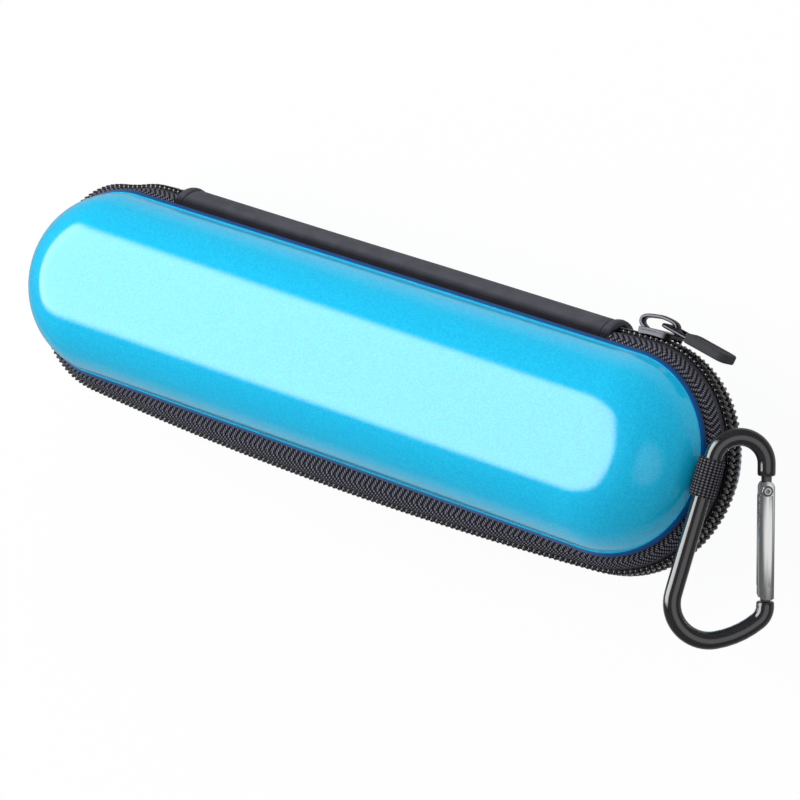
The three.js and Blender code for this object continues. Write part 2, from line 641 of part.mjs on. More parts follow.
// Plane outline of the hook's bar: top bend, spine, heel, base and toe, as arcs and lines.
function hookLayout() {
  const arcs = [];
  const arcEnd = (centre, radius, degrees) => {
    const [x, y] = polar(radius, degrees);
    return [centre[0] + x, centre[1] + y];
  };
  const topCentre = [TOP_BEND_RADIUS, TOP_BEND_V];
  const heelCentre = [HEEL_RADIUS, HEEL_V];
  const heelEnd = arcEnd(heelCentre, HEEL_RADIUS, HEEL_END_DEG);
  const baseCentre = arcEnd(heelEnd, -BASE_RADIUS, HEEL_END_DEG);
  const baseEnd = arcEnd(baseCentre, BASE_RADIUS, BASE_END_DEG);
  const toeCentre = arcEnd(baseEnd, -TOE_RADIUS, BASE_END_DEG);
  const offsetX = toeCentre[0] - topCentre[0];
  const offsetY = toeCentre[1] - topCentre[1];
  const distance = Math.hypot(offsetX, offsetY);
  const lean = Math.atan2(offsetY, offsetX) + Math.acos((TOP_BEND_RADIUS - TOE_RADIUS) / distance);
  const gateDeg = degreesOf(lean);
  const gateStart = arcEnd(topCentre, TOP_BEND_RADIUS, gateDeg);
  const gateEnd = arcEnd(toeCentre, TOE_RADIUS, gateDeg);
  arcs.push([topCentre, TOP_BEND_RADIUS, gateDeg, 180]);
  arcs.push([heelCentre, HEEL_RADIUS, 180, HEEL_END_DEG]);
  arcs.push([baseCentre, BASE_RADIUS, HEEL_END_DEG, BASE_END_DEG]);
  arcs.push([toeCentre, TOE_RADIUS, BASE_END_DEG, 360 + gateDeg]);
  const length = Math.hypot(gateEnd[0] - gateStart[0], gateEnd[1] - gateStart[1]);
  const along = [(gateEnd[0] - gateStart[0]) / length, (gateEnd[1] - gateStart[1]) / length];
  const onGate = (run) => [gateStart[0] + along[0] * run, gateStart[1] + along[1] * run];
  return { arcs, gateStart, gateEnd, length, along, onGate };
}

const HOOK = hookLayout();

function hookCentreLine() {
  const points = [HOOK.onGate(SHOULDER_LENGTH)];
  for (const [centre, radius, from, to] of HOOK.arcs) {
    const steps = Math.ceil(Math.abs(to - from) / ARC_STEP_DEG);
    for (let k = 0; k <= steps; k += 1) {
      const [x, y] = polar(radius, from + ((to - from) * k) / steps);
      points.push([centre[0] + x, centre[1] + y]);
    }
  }
  points.push(HOOK.onGate(HOOK.length - NOSE_LENGTH));
  const close = (p, q) => Math.hypot(p[0] - q[0], p[1] - q[1]) < GAP / 2;
  return points.filter((point, i) => i === 0 || !close(point, points[i - 1]));
}

// Bar of even section along a plane path, mitred at each point.
function mitredBar(path, diameter, sides) {
  const rings = path.map(([x, y], i) => {
    const before = path[Math.max(0, i - 1)];
    const after = path[Math.min(path.length - 1, i + 1)];
    const [bx, by] = [x - before[0], y - before[1]];
    const [ax, ay] = [after[0] - x, after[1] - y];
    const [bl, al] = [Math.hypot(bx, by) || 1, Math.hypot(ax, ay) || 1];
    const [tx, ty] = [bx / bl + ax / al, by / bl + ay / al];
    const t = Math.hypot(tx, ty);
    const [nx, ny] = [-ty / t, tx / t];
    const ring = [];
    for (let k = 0; k < sides; k += 1) {
      const [across, up] = polar(diameter / 2, (360 * (k + 0.5)) / sides);
      ring.push([x + nx * across, y + ny * across, up]);
    }
    return ring;
  });
  return bandLoft(rings);
}

// Frame along the gate: X runs from the rivet to the nose, Y points away from the spine.
function alongGate(geometry) {
  const [x, y] = HOOK.onGate(PIVOT_DISTANCE);
  return geometry.rotateZ(Math.atan2(HOOK.along[1], HOOK.along[0])).translate(x, y, 0);
}

const RIVET_TO_NOSE = HOOK.length - NOSE_LENGTH - PIVOT_DISTANCE;

// Body of the hook: the bar, a thin tang that the gate turns on, and a thin tongue at the nose.
function hookBody() {
  const bar = mitredBar(hookCentreLine(), BAR_DIAMETER, BAR_SIDES);
  const shoulder = SHOULDER_LENGTH - PIVOT_DISTANCE;
  const [halfWidth, halfThick] = [TONGUE_WIDTH / 2, TONGUE_THICKNESS / 2];
  const tang = block([shoulder - BAR_DIAMETER / 8, -halfWidth, -halfThick], [0, halfWidth, halfThick]);
  const eye = pin([0, 0, -halfThick], [0, 0, halfThick], TONGUE_WIDTH);
  const tongueFoot = RIVET_TO_NOSE - TONGUE_LENGTH;
  const tongueRoot = RIVET_TO_NOSE + BAR_DIAMETER / 8;
  const tongue = block([tongueFoot, -halfWidth, -halfThick], [tongueRoot, halfWidth, halfThick]);
  const bore = pin([0, 0, -halfThick - CUT_PAST], [0, 0, halfThick + CUT_PAST], RIVET_DIAMETER + GAP);
  const solid = join(bar, alongGate(tang), alongGate(eye), alongGate(tongue));
  return cut(solid, alongGate(bore));
}

// Gate: a channel folded from sheet, with its back cut short over the tongue.
function hookGate() {
  const foot = RIVET_TO_NOSE - GATE_NOSE_GAP;
  const [halfWidth, halfDepth] = [GATE_WIDTH / 2, GATE_DEPTH / 2];
  const outside = block([-GATE_TOP, -halfWidth, -halfDepth], [foot, halfWidth, halfDepth]);
  const clear = halfDepth - GATE_SHEET;
  const [top, end, side] = [-GATE_TOP - CUT_PAST, foot + CUT_PAST, halfWidth + CUT_PAST];
  const hollow = block([top, -side, -clear], [end, halfWidth - GATE_SHEET, clear]);
  const backStart = RIVET_TO_NOSE - TONGUE_LENGTH - 2 * GAP;
  const backCut = block([backStart, -side, -clear], [end, side, clear]);
  const topCut = block([top, -side, -clear], [TANG_ROOM, side, clear]);
  const bore = pin([0, 0, -halfDepth - CUT_PAST], [0, 0, halfDepth + CUT_PAST], RIVET_DIAMETER + GAP);
  return alongGate(cut(outside, hollow, backCut, topCut, bore));
}

// Rivet through the gate and the tang, with a head on each side.
function hookRivet() {
  const face = GATE_DEPTH / 2 + GAP / 2;
  const top = face + RIVET_HEAD_HEIGHT;
  return alongGate(join(
    pin([0, 0, -top], [0, 0, top], RIVET_DIAMETER - GAP / 2),
    pin([0, 0, face], [0, 0, top], RIVET_HEAD),
    pin([0, 0, -top], [0, 0, -face], RIVET_HEAD),
  ));
}

// Leaf spring inside the gate, from the tang to the gate's back.
function hookSpring() {
  const start = TONGUE_WIDTH / 2 + GAP;
  const back = GATE_WIDTH / 2 - GATE_SHEET - GAP - SPRING_THICKNESS / 2;
  const low = -GATE_WIDTH / 2 + GATE_SHEET;
  const curve = new THREE.QuadraticBezierCurve3(
    new THREE.Vector3(start, low, 0),
    new THREE.Vector3(start + SPRING_LENGTH / 2, low, 0),
    new THREE.Vector3(start + SPRING_LENGTH, back, 0),
  );
  return alongGate(ribbonAlong(curve, SPRING_THICKNESS, TONGUE_THICKNESS, SPRING_STEPS));
}

// Flat sheet that spans the inside of a half, between two places along the case.
function spanningSheet(fromX, toX, low, high, side) {
  const radius = RIM_RADIUS - LINING_INSET - GAP;
  const halfWidthAt = (x) => Math.sqrt(radius ** 2 - Math.max(0, Math.abs(x) - END_CENTRE_X) ** 2);
  const edge = [];
  for (const [start, end, sign] of [[fromX, toX, -1], [toX, fromX, 1]]) {
    for (let k = 0; k <= SHEET_STEPS; k += 1) {
      const x = start + ((end - start) * k) / SHEET_STEPS;
      edge.push([x, sign * halfWidthAt(x)]);
    }
  }
  const [from, to] = side > 0 ? [low, high] : [-high, -low];
  return plate(edge, from, to);
}

const part = new THREE.Group();
const seam = new THREE.Group();
seam.position.z = SEAM_HEIGHT;
part.add(seam);

function addMesh(parent, name, geometry, material) {
  const mesh = new THREE.Mesh(geometry, material());
  mesh.name = name;
  parent.add(mesh);
  return mesh;
}

// Both halves, alike but for the side that they lie on
for (const [half, side] of [['lower', -1], ['upper', 1]]) {
  addMesh(seam, `${half}_shell`, halfShell(side), finishes.blueLacquer);
  addMesh(seam, `${half}_lining`, halfLining(side), finishes.lining);
  addMesh(seam, `${half}_rim_binding`, rimBinding(side), finishes.webbing);
  const notch = side < 0 ? lowerTapeNotch() : webbingNotch();
  addMesh(seam, `${half}_zip_tape`, cut(zipTape(side), notch), finishes.tape);
  addMesh(seam, `${half}_hinge_leaf`, hingeLeaf(side), finishes.sheath);
  for (const [place, end] of [['left', -1], ['right', 1]]) {
    addMesh(seam, `${half}_hinge_band_${place}`, endBand(end, side), finishes.sheath);
  }
}
addMesh(seam, 'upper_zip_coil', zipCoil(1, 0, ZIP_LENGTH), finishes.coil);
addMesh(seam, 'lower_zip_coil', zipCoil(-1, LEAD_LENGTH + GAP, ZIP_LENGTH), finishes.coil);
addMesh(seam, 'lower_coil_lead', zipCoil(-1, 0, LEAD_LENGTH), finishes.coil);

// Inside the case
const hemStart = POCKET_END_X + GAP;
const net = spanningSheet(POCKET_START_X, POCKET_END_X, SHEET_LEVEL, SHEET_LEVEL + POCKET_SHEET, 1);
const hem = spanningSheet(hemStart, hemStart + HEM_WIDTH, SHEET_LEVEL, SHEET_LEVEL + HEM_THICKNESS, 1);
addMesh(seam, 'mesh_pocket', net, finishes.net);
addMesh(seam, 'pocket_hem', hem, finishes.webbing);
const straps = [
  ['handle_strap', HANDLE_STRAP_X, HANDLE_STRAP_WIDTH],
  ['neck_strap', NECK_STRAP_X, NECK_STRAP_WIDTH],
];
for (const [name, x, width] of straps) {
  const strap = spanningSheet(x - width / 2, x + width / 2, SHEET_LEVEL, SHEET_LEVEL + STRAP_THICKNESS, -1);
  addMesh(seam, name, strap, finishes.webbing);
}

// Slider and pull
const slider = new THREE.Group();
const parked = parkedFrame();
slider.position.set(parked.x, parked.y, 0);
slider.rotation.z = radians(parked.degrees);
seam.add(slider);
addMesh(slider, 'slider_body', sliderBody(), finishes.blackMetal);
const pull = new THREE.Group();
const pullRadius = COIL_RADIUS + SLIDER_OUTER_PLAY + SLIDER_PLATE + PULL_PIVOT_RISE;
pull.position.set(pullRadius, -PULL_PIVOT_BACK, 0);
pull.rotation.z = radians(-90 - pullLean(parked.degrees));
slider.add(pull);
addMesh(pull, 'pull_link', pullLink(), finishes.blackMetal);
addMesh(pull, 'pull_tab', pullTab(), finishes.rubber);

// Webbing loop and snap hook
addMesh(seam, 'webbing_loop', webbingLoop(), finishes.webbing);
const hook = new THREE.Group();
hook.position.set(END_CENTRE_X + RIM_RADIUS + HOOK_OUT, 0, RIM_HEIGHT + HOOK_RISE);
hook.rotation.y = radians(HOOK_TILT_DEG);
seam.add(hook);
addMesh(hook, 'carabiner_body', hookBody(), finishes.anodised);
addMesh(hook, 'carabiner_gate', hookGate(), finishes.polished);
addMesh(hook, 'gate_rivet', hookRivet(), finishes.polished);
addMesh(hook, 'gate_spring', hookSpring(), finishes.polished);

export default part;
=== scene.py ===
import logging
import math
from contextlib import contextmanager
from dataclasses import dataclass, field
from enum import Enum
from typing import Callable, Iterable, Iterator, Sequence

import bmesh
import bpy
import numpy as np
from mathutils import Matrix, Quaternion, Vector


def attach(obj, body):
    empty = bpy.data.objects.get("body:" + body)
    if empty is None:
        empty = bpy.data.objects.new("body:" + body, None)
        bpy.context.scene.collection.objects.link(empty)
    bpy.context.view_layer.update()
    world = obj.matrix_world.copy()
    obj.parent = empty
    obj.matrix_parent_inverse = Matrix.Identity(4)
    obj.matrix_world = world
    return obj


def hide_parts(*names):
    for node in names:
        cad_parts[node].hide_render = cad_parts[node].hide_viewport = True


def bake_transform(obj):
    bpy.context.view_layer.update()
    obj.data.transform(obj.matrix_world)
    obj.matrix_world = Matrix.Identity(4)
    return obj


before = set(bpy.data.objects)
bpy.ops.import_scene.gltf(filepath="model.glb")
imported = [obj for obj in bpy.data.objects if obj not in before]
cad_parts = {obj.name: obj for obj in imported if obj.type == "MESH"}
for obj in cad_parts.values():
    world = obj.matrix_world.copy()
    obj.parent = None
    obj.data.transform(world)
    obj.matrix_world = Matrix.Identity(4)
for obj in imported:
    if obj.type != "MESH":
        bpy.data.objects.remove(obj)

logging.basicConfig(level=logging.INFO, format="%(message)s")
LOG = logging.getLogger("travel_case")
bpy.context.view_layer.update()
MM = 0.001
WHITE = (1.0, 1.0, 1.0, 1.0)
Piece, Tree = bpy.types.Object, bpy.types.NodeTree
Node, Socket = bpy.types.Node, bpy.types.NodeSocket
Source = Node | Socket  # a node stands for its first output
Point = Sequence[float]
Pair = tuple[float, float]
Triple = tuple[float, float, float]


class Side(Enum):
    """A side of the case; the value is the sign of its direction."""

    @property
    def word(self) -> str:
        """This side's word in the names of pieces."""
        return self.name.lower()


class Half(Side):
    """The two halves of the case, by the side of the zip line on which they lie."""

    LOWER = -1
    UPPER = 1

    @property
    def body(self) -> str:
        """Body that carries this half."""
        return "lid" if self is Half.UPPER else "base"


class Hand(Side):
    """The two ends of the case."""

    LEFT = -1
    RIGHT = 1


# Modelling


def bare_selection() -> None:
    """Deselects everything, so that an operator acts on the new piece alone."""
    if bpy.context.object and bpy.context.object.mode != "OBJECT":
        bpy.ops.object.mode_set(mode="OBJECT")
    bpy.ops.object.select_all(action="DESELECT")


def take(piece: Piece) -> None:
    """Selects one piece and makes it the active one."""
    bare_selection()
    piece.select_set(True)
    bpy.context.view_layer.objects.active = piece


def started(name: str) -> Piece:
    """Names the piece that was just made and its mesh."""
    piece = bpy.context.object
    piece.name = piece.data.name = name
    return piece


def primitive(name: str, kind: str, **settings: object) -> Piece:
    """Adds one of Blender's mesh primitives.

    Args:
        name: Name of the piece.
        kind: Blender's word for the primitive.
        settings: Its settings by name.

    Returns:
        The new object.
    """
    bare_selection()
    getattr(bpy.ops.mesh, f"primitive_{kind}_add")(**settings)
    return started(name)


@contextmanager
def editing(piece: Piece) -> Iterator[None]:
    """Edit mode on one piece, with all of it selected at the start.

    Args:
        piece: The object to edit.
    """
    take(piece)
    bpy.ops.object.mode_set(mode="EDIT")
    bpy.ops.mesh.select_all(action="SELECT")
    yield
    bpy.ops.object.mode_set(mode="OBJECT")


def pick(piece: Piece, kind: str, rule: Callable[[object], bool]) -> None:
    """Selects only the parts of a mesh that a rule chooses, in edit mode.

    Args:
        piece: The object in edit mode.
        kind: Word for the parts: faces or edges.
        rule: Says of each part whether it is selected.
    """
    net = bmesh.from_edit_mesh(piece.data)
    bpy.ops.mesh.select_all(action="DESELECT")
    for part in getattr(net, kind):
        part.select = rule(part)
    bmesh.update_edit_mesh(piece.data)


def draw_out(step: Point) -> None:
    """Extrudes what is selected by a step in metres."""
    bpy.ops.mesh.extrude_region_move(TRANSFORM_OT_translate={"value": step})


def modify(piece: Piece, kind: str, **settings: object) -> None:
    """Adds a modifier with its settings and applies it.

    Args:
        piece: The object to change.
        kind: Blender's word for the modifier.
        settings: Its settings by name.
    """
    take(piece)
    bpy.ops.object.modifier_add(type=kind)
    modifier = piece.modifiers[-1]
    for key, value in settings.items():
        setattr(modifier, key, value)
    bpy.ops.object.modifier_apply(modifier=modifier.name)


def rounded(piece: Piece, width: float, segments: int = 2, angle: float = 30) -> None:
    """Rounds the edges of a piece that are sharper than an angle in degrees."""
    modify(piece, "BEVEL", width=width * MM, segments=segments, limit_method="ANGLE",
           angle_limit=math.radians(angle), use_clamp_overlap=True)


def cleaned(piece: Piece, distance: float = 0.002) -> None:
    """Merges points that lie on each other, closes holes and turns all faces outwards.

    Args:
        piece: The object to change.
        distance: Points nearer than this many millimetres are merged.
    """
    with editing(piece):
        bpy.ops.mesh.remove_doubles(threshold=distance * MM)
        bpy.ops.mesh.fill_holes(sides=0)
        bpy.ops.mesh.select_all(action="SELECT")
        bpy.ops.mesh.normals_make_consistent(inside=False)


def drawn_line(name: str, points: Iterable[Point], closed: bool = False) -> Piece:
    """Draws a line of edges from point to point.

    Args:
        name: Name of the piece.
        points: Points in millimetres.
        closed: Whether the last point joins the first.

    Returns:
        The new object, left in edit mode with the line selected.
    """
    corners = [Vector(p) for p in points]
    piece = primitive(name, "plane", size=MM)
    bpy.ops.object.mode_set(mode="EDIT")
    bpy.ops.mesh.merge(type="CENTER")
    bpy.ops.transform.translate(value=corners[0] * MM)
    for before, after in zip(corners, corners[1:] + corners[:closed]):
        draw_out((after - before) * MM)
    bpy.ops.mesh.select_all(action="SELECT")
    if closed:
        bpy.ops.mesh.remove_doubles(threshold=1e-7)
    return piece


def plate(name: str, outline: Iterable[Point], thickness: Point) -> Piece:
    """Fills a drawn outline and gives it thickness.

    Args:
        name: Name of the piece.
        outline: Closed outline in millimetres.
        thickness: How far, and which way, the face is extruded.

    Returns:
        The new plate.
    """
    piece = drawn_line(name, outline, closed=True)
    bpy.ops.mesh.edge_face_add()
    draw_out(Vector(thickness) * MM)
    cleaned(piece)
    return piece


def block(name: str, low: Point, high: Point) -> Piece:
    """Adds a block.

    Args:
        name: Name of the piece.
        low: Its lowest corner in millimetres.
        high: Its highest corner in millimetres.

    Returns:
        The new block.
    """
    middle, size = (Vector(low) + Vector(high)) * (MM / 2), (Vector(high) - Vector(low)) * MM
    piece = primitive(name, "cube", size=1, location=middle, scale=size)
    bpy.ops.object.transform_apply(location=True, rotation=True, scale=True)
    return piece


def woven(name: str, rings: Sequence[Sequence[Point]], runs: Sequence[float], across: Sequence[float],
          wrap: bool = True) -> Piece:
    """Lays a grid of faces over rings of points. The operators cannot follow a path, so a grid is
    added and its points are put in place in code; its UV map then holds real metres.

    Args:
        name: Name of the piece.
        rings: Points in millimetres, by ring and by place on the ring.
        runs: Distance along the piece of each ring, in millimetres.
        across: Distance round the ring of each place on it, in millimetres.
        wrap: Whether each ring is closed; its last point then repeats the first.

    Returns:
        The new object, closed at both ends when it wraps.
    """
    rings = np.array(rings)
    rows, columns = rings.shape[:2]
    piece = primitive(name, "grid", x_subdivisions=columns - 1, y_subdivisions=rows - 1, size=1)
    mesh = piece.data
    start = np.zeros(len(mesh.vertices) * 3)
    mesh.vertices.foreach_get("co", start)
    start = start.reshape(-1, 3) + 0.5
    column = np.rint(start[:, 0] * (columns - 1)).astype(int)
    row = np.rint(start[:, 1] * (rows - 1)).astype(int)
    mesh.vertices.foreach_set("co", (rings[row, column] * MM).ravel())
    corners = np.zeros(len(mesh.loops), int)
    mesh.loops.foreach_get("vertex_index", corners)
    places = np.c_[np.asarray(runs)[row[corners]], np.asarray(across)[column[corners]]] * MM
    mesh.uv_layers.active.data.foreach_set("uv", places.ravel())
    mesh.update()
    if wrap:
        cleaned(piece)
    return piece


def wire(name: str, points: Sequence[Point], radius: float, sides: int = 3) -> Piece:
    """Bends round wire through points and turns it to a mesh.

    Args:
        name: Name of the piece.
        points: Middle line in millimetres.
        radius: Half the wire's thickness in millimetres.
        sides: Roundness of the wire.

    Returns:
        The new object.
    """
    curve = bpy.data.curves.new(name, "CURVE")
    curve.dimensions, curve.use_fill_caps = "3D", True
    curve.bevel_depth, curve.bevel_resolution = radius * MM, sides
    line = curve.splines.new("POLY")
    line.points.add(len(points) - 1)
    line.points.foreach_set("co", np.c_[np.array(points) * MM, np.ones(len(points))].ravel())
    piece = bpy.data.objects.new(name, curve)
    bpy.context.collection.objects.link(piece)
    take(piece)
    bpy.ops.object.convert(target="MESH")
    return started(name)


def joined(name: str, pieces: Sequence[Piece]) -> Piece:
    """Joins pieces to one object.

    Args:
        name: Name of that object.
        pieces: The pieces to join.

    Returns:
        The object.
    """
    bare_selection()
    for piece in pieces:
        piece.select_set(True)
    bpy.context.view_layer.objects.active = pieces[0]
    bpy.ops.object.join()
    return started(name)


def settled(piece: Piece, place: Matrix) -> Piece:
    """Puts a piece in place and moves its place into its mesh.

    Args:
        piece: The object to place.
        place: Its place in the case, in metres.

    Returns:
        The same object, at the origin.
    """
    take(piece)
    piece.matrix_world = place
    bpy.ops.object.transform_apply(location=True, rotation=True, scale=True)
    return piece


def reshaped(piece: Piece, rule: Callable[[np.ndarray], np.ndarray]) -> Piece:
    """Moves the points of a piece.

    Args:
        piece: The object to change.
        rule: Turns an array of points in millimetres to the moved ones.

    Returns:
        The same object.
    """
    mesh = piece.data
    points = np.zeros(len(mesh.vertices) * 3)
    mesh.vertices.foreach_get("co", points)
    moved = rule(points.reshape(-1, 3) / MM) * MM
    mesh.vertices.foreach_set("co", moved.ravel())
    mesh.update()
    return piece


def placed(point: Point, degrees: float, axis: str = "Z") -> Matrix:
    """Frame at a point in millimetres, turned about an axis."""
    return Matrix.Translation(Vector(point) * MM) @ Matrix.Rotation(math.radians(degrees), 4, axis)


def polar(radius: float, degrees: float) -> Pair:
    """Plane point at a distance and an angle from the origin."""
    return radius * math.cos(math.radians(degrees)), radius * math.sin(math.radians(degrees))


def soft_box(half_x: float, half_y: float, power: float, count: int) -> list[Pair]:
    """Outline between an ellipse and a box.

    Args:
        half_x: Half its width.
        half_y: Half its height.
        power: 2 is an ellipse, and more is squarer.
        count: Points round it.

    Returns:
        Points round the outline, the last one equal to the first.
    """
    outline = []
    for k in range(count + 1):
        cos, sin = polar(1, 360 * k / count)
        outline.append((half_x * math.copysign(abs(cos) ** (2 / power), cos),
                        half_y * math.copysign(abs(sin) ** (2 / power), sin)))
    return outline


def corner_arc(centre: Point, radius: float, start: float) -> list[Pair]:
    """Quarter of a circle from a start angle in degrees, in six steps."""
    turns = [polar(radius, start + 15 * k) for k in range(7)]
    return [(centre[0] + x, centre[1] + y) for x, y in turns]


def lengths(points: Sequence[Point]) -> list[float]:
    """Measures a line.

    Args:
        points: Points of the line.

    Returns:
        Distance run at each point.
    """
    run = [0.0]
    for before, after in zip(points, points[1:]):
        run.append(run[-1] + math.dist(before, after))
    return run


def smooth_line(points: Iterable[Point], steps: int) -> list[Vector]:
    """Smooth curve through points.

    Args:
        points: Points that the curve passes.
        steps: Pieces between two of them.

    Returns:
        Points along the curve.
    """
    knots = [Vector(p) for p in points]
    knots = [knots[0] * 2 - knots[1]] + knots + [knots[-1] * 2 - knots[-2]]
    line = []
    for a, b, c, d in zip(knots, knots[1:], knots[2:], knots[3:]):
        for t in [k / steps for k in range(steps)]:
            line.append(0.5 * (2 * b + (c - a) * t + (2 * a - 5 * b + 4 * c - d) * t ** 2
                               + (3 * b - a - 3 * c + d) * t ** 3))
    return line + [knots[-2]]


def swept_bar(name: str, line: Iterable[Point], section: Sequence[Pair], upright: Point,
              ends: float = 0.0) -> Piece:
    """Bar of one section along a line that lies in a plane.

    Args:
        name: Name of the piece.
        line: Middle line in millimetres.
        section: Closed section as (across, upright) points.
        upright: Direction square to the plane.
        ends: Radius of the rounding at the ends, in millimetres.

    Returns:
        The new bar.
    """
    up = Vector(upright).normalized()
    points = [Vector(p) for p in line]
    steps = [(after - before).normalized() for before, after in zip(points, points[1:])]
    cuts = runs = lengths(points)
    total, reach = runs[-1], max(abs(a) for a, _ in section)
    if ends:
        extra = [ends * (1 - math.cos(math.radians(a))) for a in (0, 25, 50, 70)]
        inside = [r for r in runs if ends < r < total - ends]
        cuts = sorted({*extra, *[total - e for e in extra], *inside})
    rings = []
    for cut in cuts:
        i = min(max(1, int(np.searchsorted(runs, cut))), len(runs) - 1)
        t = (cut - runs[i - 1]) / max(1e-9, runs[i] - runs[i - 1])
        place = points[i - 1].lerp(points[i], t)
        previous, before, after = steps[max(0, i - 2)], steps[i - 1], steps[min(i, len(steps) - 1)]
        along = (previous + before).normalized().lerp((before + after).normalized(), t).normalized()
        side = up.cross(along)
        depth = max(0.0, ends - min(cut, total - cut))
        scale = (reach - ends + math.sqrt(ends ** 2 - depth ** 2)) / reach
        rings.append([place + side * a * scale + up * b * scale for a, b in section])
    return woven(name, rings, cuts, lengths(section))


# Finishes


def linear(code: str) -> tuple[float, float, float, float]:
    """Turns an sRGB hex colour to linear light."""
    parts = [int(code[i:i + 2], 16) / 255 for i in (0, 2, 4)]
    red, green, blue = [p / 12.92 if p <= 0.04045 else ((p + 0.055) / 1.055) ** 2.4 for p in parts]
    return red, green, blue, 1.0


def add(tree: Tree, kind: str, sockets: dict | None = None, **settings: object) -> Node:
    """Adds a node with its settings and links.

    Args:
        tree: Node tree of the material.
        kind: Blender's name for the node, after ShaderNode.
        sockets: Input by index or name. A node's first output or a given output is linked, an sRGB
            hex colour is turned to linear light, and anything else is set as it is.
        settings: Other settings by name.

    Returns:
        The new node.
    """
    made = tree.nodes.new("ShaderNode" + kind)
    for key, value in settings.items():
        setattr(made, key, value)
    for key, value in (sockets or {}).items():
        value = value.outputs[0] if isinstance(value, Node) else value
        if isinstance(value, Socket):
            tree.links.new(value, made.inputs[key])
        else:
            made.inputs[key].default_value = linear(value) if isinstance(value, str) else value
    return made


def away_from(tree: Tree, value: Source, middle: float) -> Node:
    """Distance of a value from a middle value."""
    off = add(tree, "Math", {0: value, 1: middle}, operation="SUBTRACT")
    return add(tree, "Math", {0: off}, operation="ABSOLUTE")


def stripes(tree: Tree, run: Source, spacing: float) -> Node:
    """Soft ridges side by side.

    Args:
        tree: Node tree of the material.
        run: Distance in metres, square to the ridges.
        spacing: Ridge to ridge in millimetres.

    Returns:
        Height from 0 to 1.
    """
    phase = add(tree, "Math", {0: run, 1: math.tau / (spacing * MM)}, operation="MULTIPLY")
    wave = add(tree, "Math", {0: phase}, operation="SINE")
    return add(tree, "Math", {0: wave, 1: 0.5, 2: 0.5}, operation="MULTIPLY_ADD")


@dataclass(frozen=True)
class Finish:
    """A finish: its material and what it is made of.

    Attributes:
        title: Name of the material.
        color: sRGB hex colour.
        roughness: Roughness of the surface.
        metallic: 1 for bare metal.
        sheen: Fuzz that lights up at the edges.
        coat: Clear coat over it.
        coat_roughness: Roughness of that coat.
        gloss: Specular level, 0.5 for plain plastic and less for cloth.
    """

    title: str
    color: str
    roughness: float
    metallic: float = 0.0
    sheen: float = 0.0
    coat: float = 0.0
    coat_roughness: float = 0.03
    gloss: float = 0.5

    def material(self) -> bpy.types.Material:
        """Builds the material, or returns it when it is there."""
        if self.title in bpy.data.materials:
            return bpy.data.materials[self.title]
        made = bpy.data.materials.new(self.title)
        made.use_nodes = True
        shader = made.node_tree.nodes["Principled BSDF"]
        values = {"Base Color": linear(self.color), "Roughness": self.roughness, "Metallic": self.metallic,
                  "Sheen Weight": self.sheen, "Coat Weight": self.coat,
                  "Coat Roughness": self.coat_roughness, "Specular IOR Level": self.gloss}
        for key, value in values.items():
            shader.inputs[key].default_value = value
        self.pattern(made.node_tree, shader)
        return made

    def place(self, tree: Tree) -> Socket:
        """Position on the object, in metres."""
        return add(tree, "TexCoord").outputs["Object"]

    def weave(self, tree: Tree) -> tuple[Socket, Socket]:
        """Distance along and across a woven piece, in metres."""
        split = add(tree, "SeparateXYZ", {0: add(tree, "TexCoord").outputs["UV"]})
        return split.outputs[0], split.outputs[1]

    def grain(self, tree: Tree, size: float, detail: float = 2.0) -> Socket:
        """Cloudy grain of a given size in millimetres."""
        sockets = {"Vector": self.place(tree), "Scale": 1 / (size * MM), "Detail": detail}
        return add(tree, "TexNoise", sockets).outputs["Fac"]

    def raise_by(self, tree: Tree, shader: Node, height: Source, depth: float, strength: float = 1.0) -> None:
        """Gives the surface a relief of a given depth in millimetres."""
        bump = add(tree, "Bump", {"Height": height, "Distance": depth * MM, "Strength": strength})
        tree.links.new(bump.outputs[0], shader.inputs["Normal"])

    def tint(self, tree: Tree, shader: Node, share: Source, low: str | Source, high: str | Source) -> None:
        """Colours the surface between two colours, by a share from 0 to 1."""
        mixed = add(tree, "Mix", {0: share, 6: low, 7: high}, data_type="RGBA")
        tree.links.new(mixed.outputs[2], shader.inputs["Base Color"])

    def wear(self, tree: Tree, shader: Node, share: Source, least: float, most: float) -> None:
        """Lets the roughness vary between two multiples of its value, by a share from 0 to 1."""
        sockets = {0: share, 3: self.roughness * least, 4: self.roughness * most}
        spread = add(tree, "MapRange", sockets)
        tree.links.new(spread.outputs[0], shader.inputs["Roughness"])

    def pattern(self, tree: Tree, shader: Node) -> None:
        """Adds the finish's own pattern: here faint unevenness of the surface.

        Args:
            tree: Node tree of the material.
            shader: Its shader.
        """
        self.wear(tree, shader, self.grain(tree, 1.2, 4), 0.8, 1.25)


